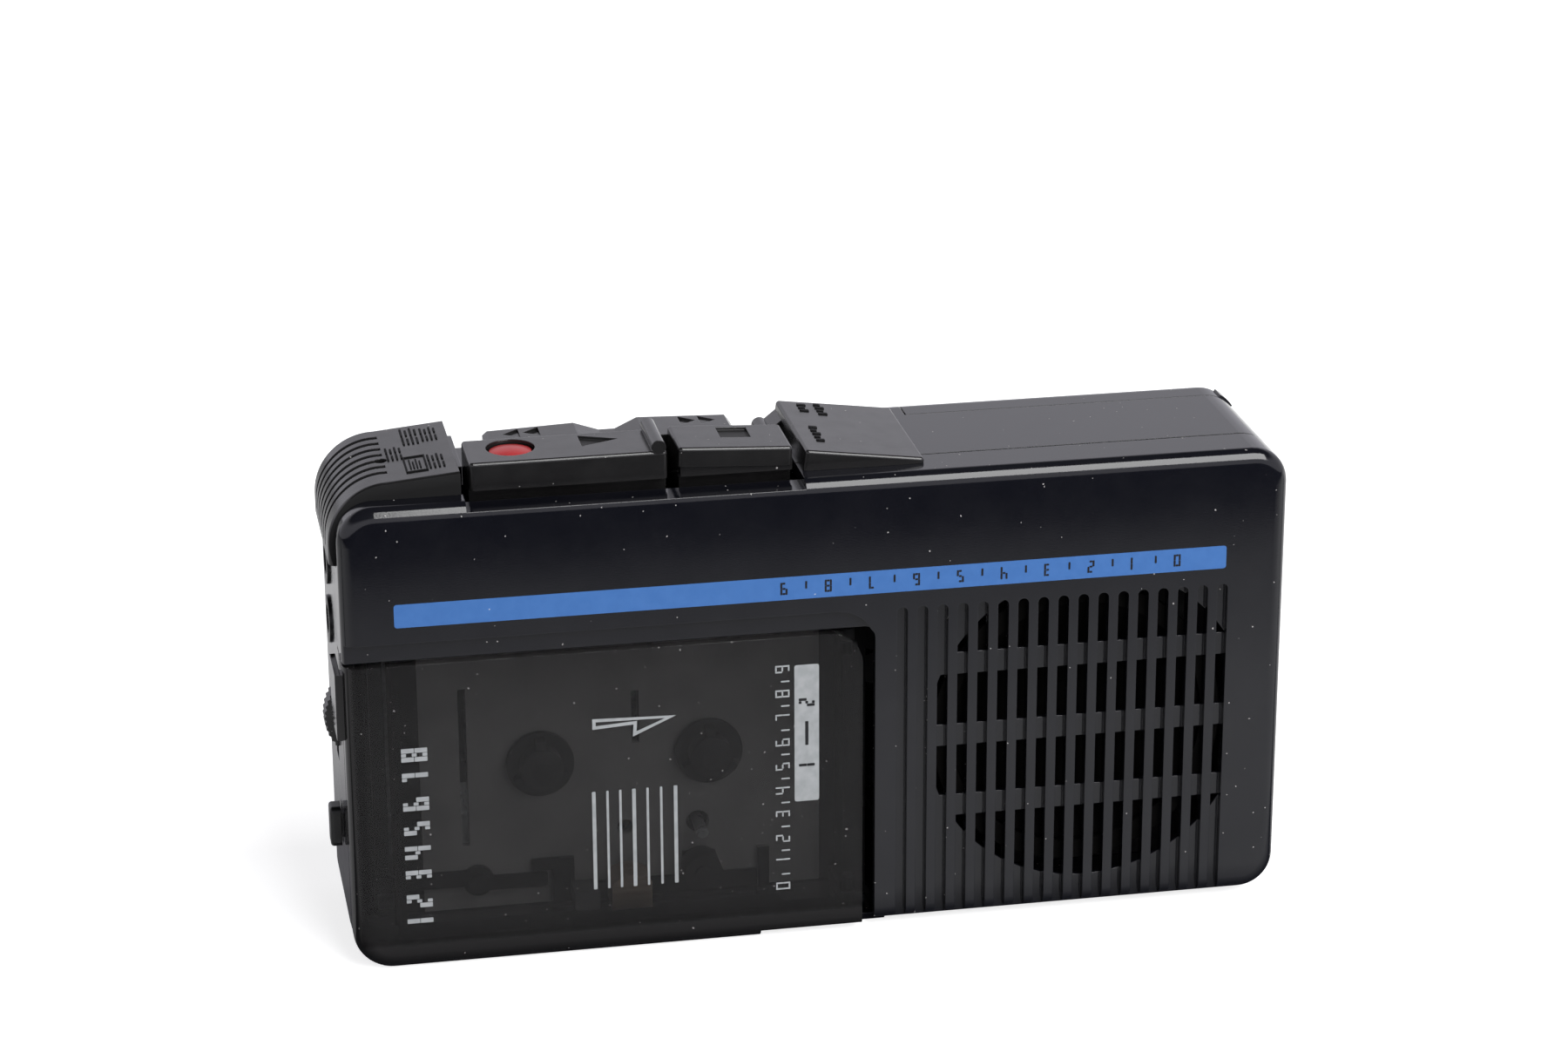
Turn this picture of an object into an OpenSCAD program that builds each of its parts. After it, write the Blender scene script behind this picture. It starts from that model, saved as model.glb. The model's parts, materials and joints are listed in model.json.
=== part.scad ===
// Microcassette recorder, drawn face up and then stood on its long side.
// While drawing: x runs along the length, y up the face, z out of the face.
// Depths are counted from the front face towards the back.

/* [Case] */
// Length of the case
case_l = 118; // [116:0.5:122]
// Thickness of the case, front to back
case_t = 28; // [28:0.25:31]
// Height of the front case
case_h = 59.6; // [59.2:0.2:62]
// How far the back case and the door lip reach below the front case
foot_h = 1.1; // [0.8:0.1:1.3]
// Wall thickness of the case
wall = 1.6; // [1.4:0.05:1.8]
// Corner radius of the case outline
corner_r = 4.5; // [4:0.1:5.5]
// Rounding of the front edge
front_edge_r = 1.8; // [1.2:0.1:2.2]
// Rounding of the back edge
back_edge_r = 2.4; // [1.6:0.1:3]
// Depth of the seam between the case halves
seam_depth = 7.4; // [7.2:0.1:7.8]
// Width and depth of the shadow line along the seam
seam_line = 0.35; // [0.2:0.05:0.5]

/* [Door] */
// Length of the cassette door
door_l = 63.95; // [63:0.05:64.5]
// Height of the door's top edge above the floor
door_h = 40.65; // [40.4:0.05:41.4]
// Thickness of the door
door_wall = 1.8; // [1.6:0.1:2]
// Gap above the door
door_gap = 0.4; // [0.3:0.05:0.5]
// Gap at the hinge end of the door
hinge_gap = 1.55; // [1.5:0.05:1.9]
// Width of the recessed margin above the door
margin_w = 2.45; // [2:0.05:2.8]
// Depth of the recessed margin above the door
margin_depth = 0.8; // [0.6:0.1:1.2]
// Radius of the door's upper corner at the hinge
door_corner_r = 4.2; // [3.4:0.1:5.4]
// Length of the lip under the case
lip_l = 51; // [48:0.5:52]
// Distance of the hinge axis from the hinge end of the door
hinge_inset = 1.4; // [1.3:0.05:1.5]
// Depth of the hinge axis
hinge_depth = 3; // [2.9:0.05:3.1]
// Radius of a hinge pin
hinge_pin_r = 0.6; // [0.5:0.05:0.65]
// Length of the pull tab
tab_l = 8.5; // [7:0.5:9]

/* [Grille] */
// Number of grooves
groove_count = 17; // [13:1:17]
// Distance between grooves
groove_pitch = 2.556; // [2.4:0.01:2.6]
// Width of a groove
groove_w = 1.35; // [1.1:0.05:1.5]
// Depth of a groove
groove_depth = 1; // [0.6:0.05:1.1]
// Height of the groove tops above the floor
groove_top = 43.5; // [42.5:0.1:44]
// Radius of the pierced circle
pierced_r = 20.7; // [19:0.1:21]
// Bars across the holes
bar_count = 3; // [3:2:5]
// Height of a bar
hole_bar = 2.9; // [2:0.1:3.2]
// Distance between bars
bar_pitch = 9.6; // [9.4:0.1:9.8]

/* [Keys] */
// Left end of the key well
well_x = 15.6; // [15.4:0.1:16]
// Length of the play key
play_l = 24.1; // [23.5:0.1:24.5]
// Length of the stop key
stop_l = 14.3; // [13.5:0.1:14.5]
// Gap at the left end of the play key
key_gap = 0.9; // [0.8:0.05:1]
// Depth of the keys' front faces
key_front = 4.4; // [4.2:0.05:4.6]
// Size of the keys, front to back
key_w = 8.9; // [8.5:0.1:9.1]
// Height of the keys above the case
key_rise = 3.6; // [3.3:0.1:4.1]
// Travel of the play and stop keys
key_travel = 3; // [2.4:0.1:3]
// Radius of the record button
record_r = 2.6; // [2.3:0.1:2.8]
// Travel of the record button in the play key
record_travel = 1.5; // [1.2:0.1:1.5]
// Travel of the cue lever each way
lever_travel = 2; // [1.5:0.1:2]
// Size of the cue lever, front to back
lever_w = 7; // [6.5:0.1:7.2]
// Height of the thumb rest above the case
rest_rise = 2.65; // [2.2:0.05:3.2]

/* [Left end] */
// Radius of the volume wheel
wheel_r = 6; // [5.8:0.1:6.2]
// How far the wheel and the speed knob stand out
wheel_proud = 1.6; // [1.3:0.1:1.8]
// Height of the wheel axis above the floor
wheel_y = 29; // [28.5:0.1:30]
// Travel of the speed knob each way
speed_travel = 1.1; // [0.8:0.1:1.1]
// Bore radius of the jacks
jack_r = 1.85; // [1.8:0.01:1.9]
// Bore length of the jacks
jack_l = 12; // [11:0.5:12.5]

/* [Tape drive] */
// Middle of the cassette bay along the length
bay_x = 35.4; // [35:0.05:35.7]
// Distance between the reel spindles
reel_pitch = 21.4; // [21.2:0.1:21.8]
// Height of the reel spindles above the floor
reel_y = 22.3; // [22:0.1:22.7]
// Clear depth of the bay behind the door
bay_depth = 8.4; // [8.2:0.1:8.6]
// How far the spindles stand into the bay
spindle_reach = 3.9; // [3.6:0.1:4]
// Height of the capstan above the floor
capstan_y = 12.4; // [12.3:0.05:12.6]
// Distance of the capstan from the middle of the bay
capstan_dx = 9.3; // [9.1:0.05:9.5]
// Radius of the capstan shaft
capstan_r = 0.75; // [0.7:0.05:0.8]
// Radius of the flywheel
flywheel_r = 9.2; // [8.6:0.1:9.2]
// Radius of the motor can
motor_r = 8; // [7.4:0.1:8.2]
// Radius of the pinch roller
roller_r = 2.4; // [2.2:0.1:2.5]
// Lift of the head bridge when play is pressed
head_lift = 2; // [1.6:0.1:2]
// Module of the gears
gear_m = 0.5; // [0.48:0.005:0.5]

/* [Speaker and cells] */
// Radius of the speaker
speaker_r = 18.6; // [18:0.1:19.4]
// Length of the battery cover
cover_l = 44; // [42:0.5:45]
// Diameter of one cell space
cell_d = 14.8; // [14.6:0.1:15]

/* [Fits] */
// Running clearance of shafts, per side
run = 0.05; // [0.03:0.01:0.08]
// Clearance between sliding pieces
slip = 0.2; // [0.15:0.05:0.3]
// Clearance of pressed and screwed pieces, per side
press = 0.01; // [0.01:0.005:0.02]

/* [Hidden] */
$fn = 64;
eps = 0.01;
big = 200;
slab_lap = 0.15;

top_y = foot_h + case_h;
mid_x = (case_l - wheel_proud) / 2;
inner_low = foot_h + wall;
inner_high = top_y - wall;
inner_right = case_l - wall;
inner_back = case_t - wall;

// Hinge of the door
hinge_x = door_l - hinge_inset;
opening_x = door_l + hinge_gap;
ear_t = 1.6;
ear_r = 1.1;
low_ear_y = inner_low + 2;
high_ear_y = door_h - 3.6;

// Stack of the tape drive, as depths
tray_front = door_wall + bay_depth;
tray_t = 1;
chassis_front = tray_front + tray_t;
chassis_t = 1;
chassis_back = chassis_front + chassis_t;
gear_t = 1.2;
gear_front = chassis_back + 0.6;
gear_back = gear_front + gear_t;
motor_back = chassis_back + 8;
wheel_line = motor_back + 2;
bracket_back = inner_back - 1.4;
bracket_front = bracket_back - 0.8;
bracket_w = 6;
bracket_ys = [inner_low + 1.3, capstan_y + flywheel_r + 1.4];

// Places of the turning pieces
supply_x = bay_x - reel_pitch / 2;
takeup_x = bay_x + reel_pitch / 2;
capstan_x = bay_x + capstan_dx;
motor_x = supply_x - motor_r - 1.7;
motor_y = inner_low + motor_r + 0.7;
pinion_teeth = 12;
idler_teeth = 28;
reel_teeth = 22;
mesh_play = 0.06;
idler_reach = gear_m * (pinion_teeth + idler_teeth) / 2 + mesh_play;
takeup_reach = gear_m * (idler_teeth + reel_teeth) / 2 + mesh_play;
idler_at = third_corner([capstan_x, capstan_y], [takeup_x, reel_y], idler_reach, takeup_reach);
idler_phase = mate_phase([capstan_x, capstan_y], idler_at, 0, pinion_teeth, idler_teeth);
takeup_phase = mate_phase(idler_at, [takeup_x, reel_y], idler_phase, idler_teeth, reel_teeth);
spindle_r = 1;
pulley_r = 2.5;
groove_in = 0.6;
belt_w = 1;

// Head bridge, rocker and push rod
bridge_front = tray_front - 1;
bridge_back = tray_front - 0.3;
bridge_low = inner_low + 0.5;
bridge_high = bridge_low + 2.2;
roller_y = capstan_y - capstan_r - roller_r - head_lift - 0.1;
roller_pin_r = 0.7;
rod_x = wall + 2.9;
rocker_long = 12;
rocker_short = rocker_long * head_lift / key_travel;
rocker_x = rod_x + rocker_long;
rocker_y = bridge_high + 1.6;
rocker_h = 2;

// Keys, counted along the well
key_low = top_y - 4.5;
mid_gap = key_gap + 0.5;
end_gap = key_gap - 0.3;
well_l = key_gap + play_l + mid_gap + stop_l + end_gap;
well_end = well_x + well_l;
play_x = well_x + key_gap;
stop_x = play_x + play_l + mid_gap;
lip_drop = 1;
key_corner = 0.5;
key_edge = 0.4;
lip_depth = key_front - 0.45;
guide_low = top_y - 11.5;
guide_high = guide_low + 2.2;
stem_r = 1.2;
play_stem_x = play_x + 15;
ridge_r = 0.9;
skirt_y = top_y + 0.1;
button_y = top_y + key_rise - 0.5;
play_mark_x = play_x + 14.2;
stop_stem_x = stop_x + stop_l / 2;
stem_depth = key_front + key_w / 2 + 0.7;
mark_depth = stem_depth + 0.7;
record_x = play_x + 5.6;
record_floor = top_y + key_rise - 3.4;
lever_front = key_front + key_w + 1;
lever_back = lever_front + lever_w;
lever_x = well_x + 4.4;
lever_mid = well_x + 20;
lever_end = well_x + 35.6;
lever_base = top_y - 0.25;
shelf_x = well_x + 1;
shelf_y = top_y - 2.4;
shelf_t = 1.4;
shelf_front = lever_front - 0.3;
spring_wire = 0.18;
spring_r = stem_r + 0.5;
spring_curls = 4;
spring_len = key_low - guide_high;
spring_rings = 8;
spring_sides = 6;

// Thumb rest
rest_x = well_end + 0.7;
rest_l = 15;
rest_front = lip_depth;
rest_back = lever_back + 2.7;
rest_tilt = 7.6;

// Microphone cap
cap_right = well_x - slip;
cap_low = top_y - 8.1;
cap_proud = 0.8;
cap_r = 7.5;
cap_rise = 2.6;
cap_front = lip_depth - 0.05;
cap_back = 24.2;
cap_wall = 1.4;
cap_edge = 1.2;
cap_cx = cap_r - cap_proud;
cap_cy = top_y + cap_rise - 0.8 - cap_r;
cap_slots = 7;
slot_pitch = 2.17;
slot_front = cap_front + 4.6;

// Left end
wheel_x = wheel_r - wheel_proud;
wheel_front = chassis_back + 1;
wheel_t = 2.8;
pot_front = wheel_front + wheel_t + 1.6;
board_front = motor_back + 1.8;
board_t = 1.2;
board_back = board_front + board_t;
board_right = case_l - cover_l - 2;
can_r = 2;
can_h = 6;
can_pitch = 4.6;
chip_l = 9;
chip_w = 4.4;
board_low = capstan_y + flywheel_r + 3.6;
board_high = guide_low + 1.6;
speed_y = 15.1;
speed_l = 5.3;
speed_depth = chassis_front + 1.2;
switch_l = 2.3;
jack_depth = board_front - 3.8;
jack_half = 3.6;
jack_ys = [cap_low - 3 * jack_half - 1.4, cap_low - jack_half - 0.8];

// Battery bay and cover
cover_x = case_l - cover_l;
cover_depth = 22.5;
cell_floor = 1;
cell_back = inner_back - 0.2;
cell_front = cell_back - cell_d;
cells_x = inner_right - 2 * cell_d - 1.2;
box_wall = 1.2;
rail_t = 1.4;
rail_back = cover_depth + 2.6;
tongue = 0.5;

// Speaker and grille
speaker_x = (opening_x + wall + inner_right) / 2;
bar_mid = foot_h + 24.45;
speaker_y = bar_mid;
magnet_r = 9;
pierced_x = case_l - 24.95;
grille_edge = 8.2;
grille_gap = 3.2;
grooves = [for (k = [0:groove_count - 1]) let (x = case_l - grille_edge - k * groove_pitch)
  if (x > opening_x + grille_gap) x];
cone_back = 6.6;
magnet_back = cell_front - cell_floor - 0.3;

// Bare panel on the back
label_l = 30;
label_h = 24;
label_r = 1.5;
label_x = bay_x - 11.85;
label_y = foot_h + 10.9;

// Screws, as places on the back
boss_r = 2.6;
screw_y = guide_low - boss_r - slip;
strip_x = cover_x - 5;
case_screws_at = [[well_x + 3, screw_y], [well_end - 0.2, screw_y],
  [strip_x, foot_h + 6.5], [strip_x, top_y - 6.7]];
chassis_screws_at = [[idler_at[0] + 7.4, inner_low + 2.7], [supply_x + 1.3, door_h - 2.5],
  [takeup_x + 5, door_h - 3.5]];
screw_r = 1;
shoulder_r = 3.4;
head_r = 2.3;
head_seat = inner_back - 0.8;

// Third corner of a triangle on the right of the line from a to b
function third_corner(a, b, from_a, from_b) =
  let (d = norm(b - a), along = (from_a * from_a - from_b * from_b + d * d) / (2 * d),
       off = sqrt(from_a * from_a - along * along), u = (b - a) / d)
  a + u * along + [u[1], -u[0]] * off;

function heading(a, b) = atan2(b[1] - a[1], b[0] - a[0]);

// Turn that sets a gap of gear b on the tooth of gear a along the line of centres
function mate_phase(a, b, phase_a, teeth_a, teeth_b) =
  heading(a, b) + 180 + ((heading(a, b) - phase_a) * teeth_a / 360 + 0.5) * 360 / teeth_b;

function at(depth) = case_t - depth;

// Stands the drawing on its long side, middle of the base at the origin
module placed() translate([-mid_x, case_t / 2, 0]) rotate([90, 0, 0]) children();

// Box between two x values, two y values and two depths
module span(x, y, d) {
  translate([x[0], y[0], at(d[1])]) cube([x[1] - x[0], y[1] - y[0], d[1] - d[0]]);
}

// Round bar along the depth
module rod(x, y, d, r) translate([x, y, at(d[1])]) cylinder(r = r, h = d[1] - d[0]);

// Round bar along the length
module cross_rod(x, y, depth, r) {
  translate([x[0], y, at(depth)]) rotate([0, 90, 0]) cylinder(r = r, h = x[1] - x[0]);
}

// Round bar up the face
module up_rod(x, y, depth, r) {
  translate([x, y[0], at(depth)]) rotate([-90, 0, 0]) cylinder(r = r, h = y[1] - y[0]);
}

// Outline carried between two depths
module sheet(d) translate([0, 0, at(d[1])]) linear_extrude(d[1] - d[0]) children();

// Section of a rim: w wide and t high, its two outer corners rounded
module rim_section(w, t, low_r, high_r) difference() {
  square([w, t]);
  if (low_r > 0) translate([w, 0]) corner_cut(low_r);
  if (high_r > 0) translate([w, t]) mirror([0, 1]) corner_cut(high_r);
}

// What a rounding of radius r takes off a lower right corner at the origin
module corner_cut(r) difference() {
  translate([-r, -1]) square([r + 1, r + 1]);
  translate([-r, r]) circle(r);
  translate([-r - 1, r - 1]) square([1, 2]);
}

// Flat block with round corners and rounded edges on its lower and upper faces
module slab(l, h, t, corner, low_r, high_r) {
  centres = [[l - corner, h - corner], [corner, h - corner], [corner, corner], [l - corner, corner]];
  core = corner - slab_lap;
  translate([core, core, 0]) cube([l - 2 * core, h - 2 * core, t]);
  for (k = [0:3]) translate(centres[k]) rotate([0, 0, 90 * k]) {
    rotate_extrude(angle = 90) rim_section(corner, t, low_r, high_r);
    rotate([90, 0, 0]) linear_extrude((k % 2 == 0 ? h : l) - 2 * corner)
      rim_section(corner, t, low_r, high_r);
  }
}

// Slab turned so that its rounded face is up, for key tops
module top_block(x, d, y, corner, edge) {
  translate([x[0], y[0], at(d[0])]) rotate([-90, 0, 0])
    slab(x[1] - x[0], d[1] - d[0], y[1] - y[0], corner, 0, edge);
}

// Outer form of the back half, floor to top
module back_form(inset) {
  translate([inset, inset, inset])
    slab(case_l - 2 * inset, top_y - 2 * inset, case_t, corner_r - inset, back_edge_r - inset / 2, 0);
}

// Inside of both halves, shrunk by an inset
module cavity(d, inset = 0) {
  edge = wall + inset;
  translate([edge, foot_h + edge, at(d[1])])
    slab(case_l - 2 * edge, case_h - 2 * edge, d[1] - d[0], corner_r - edge, 0.6, 0.6);
}

// Toothed outline, its first tooth at angle zero
module gear_outline(teeth) {
  out = gear_m * (teeth + 1.8) / 2;
  root = gear_m * (teeth - 2.6) / 2;
  step = 360 / teeth;
  polygon([for (k = [0:teeth - 1]) for (p = [[-0.34, root], [-0.11, out], [0.11, out], [0.34, root]])
    [p[1] * cos((k + p[0]) * step), p[1] * sin((k + p[0]) * step)]]);
}

module gear(x, y, phase, teeth, bore) {
  sheet([gear_front, gear_back]) translate([x, y]) difference() {
    rotate(phase) gear_outline(teeth);
    circle(bore);
  }
}

// Closed line round two wheels of radius ra and rb, in short steps along each arc
function loop_line(a, ra, b, rb) =
  let (lean = acos((ra - rb) / norm(b - a)), way = heading(a, b), steps = 36)
  concat([for (k = [0:steps]) let (turn = way + lean + (360 - 2 * lean) * k / steps)
           a + ra * [cos(turn), sin(turn)]],
         [for (k = [0:steps]) let (turn = way - lean + 2 * lean * k / steps)
           b + rb * [cos(turn), sin(turn)]]);

// Band of width w round two wheels of radius ra and rb
module band_outline(a, ra, b, rb, w) difference() {
  polygon(loop_line(a, ra + w, b, rb + w));
  polygon(loop_line(a, ra, b, rb));
}

// One unbroken coil along z, its radius going from r_low to r_high
module coil(len, r_low, r_high, wire, curls) {
  steps = curls * spring_rings;
  pts = [for (k = [0:steps]) for (s = [0:spring_sides - 1])
    let (f = k / steps, turn = 360 * curls * f, r = r_low + (r_high - r_low) * f,
         a = 360 * s / spring_sides, out = r + wire * cos(a))
    [out * cos(turn), out * sin(turn), wire + (len - 2 * wire) * f + wire * sin(a)]];
  faces = concat([[for (s = [spring_sides - 1:-1:0]) s]],
    [for (k = [0:steps - 1]) for (s = [0:spring_sides - 1])
      let (a = k * spring_sides + s, b = k * spring_sides + (s + 1) % spring_sides)
      [a, b, b + spring_sides, a + spring_sides]],
    [[for (s = [0:spring_sides - 1]) steps * spring_sides + s]]);
  polyhedron(pts, faces);
  pitch = (len - 2 * wire) / curls;
  slant = sqrt(pitch * pitch + pow((r_high - r_low) / curls, 2));
  echo(str("coil gap ", slant - 2 * wire));
}

// Opening of the front case for the door, grown by a margin at the top and the hinge end
module door_hole(grow_x, grow_y, round_r) {
  x = door_l + grow_x;
  y = door_h + grow_y;
  translate([-big, -big]) square([big + x - round_r, big + y]);
  translate([-big, -big]) square([big + x, big + y - round_r]);
  translate([x - round_r, y - round_r]) circle(round_r);
}

// One upright groove with a round top end
module groove(x, d) {
  span([x - groove_w / 2, x + groove_w / 2], [-1, groove_top - groove_w / 2], d);
  rod(x, groove_top - groove_w / 2, d, groove_w / 2);
}

// Grooves, and the holes in their floors within a circle, left whole under the cross bars
module grille_cuts() {
  for (x = grooves) groove(x, [-1, groove_depth]);
  intersection() {
    rod(pierced_x, bar_mid, [0, wall + 1], pierced_r);
    difference() {
      for (x = grooves) groove(x, [0, wall + 1]);
      for (n = [0:bar_count - 1]) {
        y = bar_mid + (n - (bar_count - 1) / 2) * bar_pitch;
        span([0, case_l], [y - hole_bar / 2, y + hole_bar / 2], [-1, wall + 2]);
      }
    }
  }
}

module front_case() color("#1d1f22") placed() difference() {
  union() {
    difference() {
      translate([0, foot_h, at(seam_depth)])
        slab(case_l, case_h, seam_depth, corner_r, 0, front_edge_r);
      cavity([wall, seam_depth + 1]);
    }
    intersection() {
      translate([0, foot_h, at(margin_depth + wall)])
        slab(case_l, case_h, margin_depth + wall, corner_r, 0, front_edge_r);
      sheet([0, margin_depth + wall])
        door_hole(hinge_gap + wall, margin_w + door_gap + wall, door_corner_r);
    }
    for (p = case_screws_at) rod(p[0], p[1], [wall - eps, seam_depth], boss_r);
  }
  sheet([-1, margin_depth]) door_hole(hinge_gap, margin_w + door_gap, door_corner_r + 0.6);
  sheet([-1, seam_depth + 1]) door_hole(hinge_gap, door_gap, door_corner_r - 3);
  span([opening_x - 1, opening_x + 0.6], [-1, door_h + door_gap], [1.3, seam_depth + 1]);
  span([well_x, well_end], [top_y - lip_drop, big], [-1, seam_depth + 1]);
  span([well_x, well_end], [key_low - key_travel - 1, big], [lip_depth, seam_depth + 1]);
  span([-1, well_x + eps], [cap_low - slip, big], [cap_front - 0.1, seam_depth + 1]);
  for (p = case_screws_at) rod(p[0], p[1], [wall + 1, seam_depth + 1], screw_r + press);
  grille_cuts();
  span([-1, case_l + 1], [top_y - seam_line, big], [seam_depth - seam_line, seam_depth + 1]);
  span([inner_right + wall - seam_line, big], [0, top_y], [seam_depth - seam_line, seam_depth + 1]);
}

module back_case() color("#1b1d20") placed() difference() {
  union() {
    difference() {
      intersection() {
        back_form(0);
        span([-1, case_l + 1], [-1, big], [seam_depth, case_t]);
      }
      cavity([seam_depth - 1, inner_back]);
      span([cover_x, big], [-1, big], [cover_depth, big]);
    }
    span([0, wall], [corner_r, door_h], [door_wall * 2 + 0.4, seam_depth + eps]);
    span([lip_l + 3.5, opening_x - slip], [foot_h, inner_low], [hinge_depth + 2, seam_depth + eps]);
    span([lip_l + 3.5, opening_x + 2], [0, foot_h - slip], [hinge_depth + slip, seam_depth + 1]);
    for (p = case_screws_at) {
      rod(p[0], p[1], [seam_depth, inner_back + eps], boss_r);
      rod(p[0], p[1], [board_back, inner_back + eps], shoulder_r);
    }
    for (p = chassis_screws_at) {
      rod(p[0], p[1], [chassis_back, inner_back + eps], 2);
      if (p[1] > board_low) rod(p[0], p[1], [board_back, inner_back + eps], shoulder_r);
    }
    for (y = bracket_ys) rod(capstan_x, y, [bracket_back, inner_back + eps], bracket_w / 2 - 1.2);
    span([well_x + slip, rest_x + wall], [shelf_y - shelf_t, inner_high + eps],
         [shelf_front, inner_back + eps]);
  }
  span([shelf_x, rest_x - slip], [shelf_y, big], [shelf_front - 1, big]);
  span([well_x, well_end], [key_low - key_travel - 1, big], [seam_depth - 1, shelf_front]);
  span([-1, well_x + eps], [cap_low - slip, big], [seam_depth - 1, cap_back + 0.1]);
  span([lever_mid - 1.7 - lever_travel - slip, lever_mid + 1.7 + lever_travel + slip],
       [shelf_y - shelf_t - 1, big], [lever_front + 2.2, lever_back - 2.2]);
  span([-1, wall + 1], [wheel_y - 5.7, wheel_y + 5.7], [wheel_front - 0.3, wheel_front + wheel_t + 0.3]);
  span([-1, wall + eps], [speed_y - 1.6 - speed_travel - slip, speed_y + 1.6 + speed_travel + slip],
       [speed_depth - 1, speed_depth + 1]);
  for (y = jack_ys) cross_rod([-1, wall + 1], y, jack_depth, 3 + slip / 2);
  for (p = case_screws_at) {
    rod(p[0], p[1], [0, case_t + 1], screw_r + slip);
    rod(p[0], p[1], [head_seat, case_t + 1], head_r + slip);
  }
  for (p = chassis_screws_at) rod(p[0], p[1], [0, chassis_back + 7], 0.8 + press);
  label_recess();
}

// Box of the cells: floor behind the speaker, side wall, and the rails that guide the cover
module battery_box() color("#232528") placed() difference() {
  union() {
    intersection() {
      cavity([seam_depth, inner_back], run);
      union() {
        span([cells_x - box_wall, big], [0, big], [cell_front - cell_floor, cell_front]);
        span([cells_x - box_wall, cells_x], [0, big], [cell_front - eps, cover_depth - slip]);
        for (y = [[0, inner_low + rail_t], [inner_high - rail_t, big]])
          span([cover_x + 1, cells_x], y, [cover_depth - 3, cover_depth]);
      }
    }
    for (y = [[inner_low + slip, inner_low + rail_t], [inner_high - rail_t, inner_high - slip]])
      span([cover_x + 1, cells_x], y, [cover_depth - eps, rail_back]);
  }
  for (y = [inner_low - 1, inner_high - slip - tongue - 0.1])
    span([cover_x, big], [y, y + 1 + slip + tongue + 0.1], [rail_back - 1.4, rail_back - 0.4]);
}

// Shallow bare panel on the back
module label_recess() {
  translate([label_x, label_y, -1]) linear_extrude(1.4) {
    translate([label_r, 0]) square([label_l - 2 * label_r, label_h]);
    translate([0, label_r]) square([label_l, label_h - 2 * label_r]);
    for (x = [label_r, label_l - label_r]) for (y = [label_r, label_h - label_r])
      translate([x, y]) circle(label_r);
  }
}

module battery_cover() color("#1b1d20") placed() difference() {
  union() {
    difference() {
      back_form(0);
      span([-1, case_l + 1], [-1, big], [-1, cover_depth + slip]);
      span([-1, cover_x + slip], [-1, big], [-1, big]);
      cavity([0, inner_back]);
    }
    for (y = [[inner_low - eps, inner_low + slip + tongue], [inner_high - slip - tongue, inner_high + eps]])
      span([cover_x + 1.5, cells_x - 2], y, [rail_back - 1.3, rail_back - 0.5]);
    corner_rib();
  }
  for (k = [0:6]) rod_groove(cover_x + 5 + k * 1.8);
  span([case_l - 1.4, big], [top_y - 6.5, top_y - 2.5], [cover_depth, case_t - 1.5]);
}

// Finger rib over the top corner of the cover
module corner_rib() {
  translate([case_l - corner_r, top_y - corner_r, at(cover_depth + 3.5)])
    rotate([0, 0, 32]) rotate_extrude(angle = 28) translate([corner_r - 0.6, 0]) square([0.85, 2.5]);
}

// One grip groove across the cover
module rod_groove(x) {
  translate([x, top_y / 2 - 9, -0.15]) rotate([-90, 0, 0]) cylinder(r = 0.6, h = 18);
}

module cassette_door() color("#3a3d42") placed() difference() {
  union() {
    intersection() {
      difference() {
        translate([0, 0, at(seam_depth - slip)])
          slab(door_l + 30, door_h + 30, seam_depth - slip, 5, 0, 2);
        translate([door_wall, door_wall, at(seam_depth)])
          slab(door_l + 30, door_h + 30, seam_depth - door_wall, 3.2, 0, 0.8);
      }
      sheet([-1, seam_depth]) door_hole(0, 0, door_corner_r);
    }
    span([-0.9, 0.7], [door_h - 1.3 - tab_l, door_h - 1.3], [1.6, door_wall * 2]);
    span([-0.9, -slip], [door_h - 1.3 - tab_l, door_h - 1.3], [door_wall * 2 - eps, 9]);
    for (y = [low_ear_y, high_ear_y]) {
      up_rod(hinge_x, [y, y + ear_t], hinge_depth, ear_r);
      span([hinge_x - ear_r, hinge_x + ear_r], [y, y + ear_t], [door_wall - eps, hinge_depth]);
    }
  }
  span([-eps, door_wall + eps], [-1, big], [door_wall * 2, big]);
  span([lip_l + 2, big], [-1, door_wall + 1], [door_wall, big]);
  span([lip_l, big], [-1, foot_h], [-1, big]);
  for (y = [low_ear_y, high_ear_y]) up_rod(hinge_x, [y - 1, y + ear_t + 1], hinge_depth, hinge_pin_r + run);
}

module hinge_pins() color("silver") placed() {
  up_rod(hinge_x, [low_ear_y - 1.6, low_ear_y + ear_t + 0.4], hinge_depth, hinge_pin_r);
  up_rod(hinge_x, [high_ear_y - 0.4, high_ear_y + ear_t + 1.6], hinge_depth, hinge_pin_r);
}

// Side outline of the microphone cap, shrunk by an inset
module cap_outline(inset) {
  r = cap_r - inset;
  translate([cap_cx, cap_cy]) circle(r);
  polygon([[cap_cx, cap_cy], [cap_right - inset, cap_cy], [cap_right - inset, top_y + cap_rise - inset],
           [cap_cx, cap_cy + r]]);
  translate([cap_cx - r, cap_low]) square([cap_right - inset - cap_cx + r, cap_cy - cap_low]);
}

// What rounds the cap's front edge: up the end, round the corner and along the sloping top
module cap_edge_cut() translate([0, 0, at(cap_front)]) {
  slope = atan2(top_y + cap_rise - cap_cy - cap_r, cap_right - cap_cx);
  translate([cap_cx - cap_r, cap_cy, 0]) rotate([90, 0, 0]) linear_extrude(cap_cy - cap_low + 1)
    rotate(180) corner_cut(cap_edge);
  translate([cap_cx, cap_cy, 0]) rotate([0, 0, 90]) rotate_extrude(angle = 90)
    translate([cap_r, 0]) mirror([0, 1]) corner_cut(cap_edge);
  translate([cap_cx, cap_cy + cap_r, 0]) rotate([0, 0, slope]) rotate([90, 0, 90])
    translate([0, 0, -0.2]) linear_extrude(cap_right - cap_cx + 1) mirror([0, 1]) corner_cut(cap_edge);
}

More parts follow.
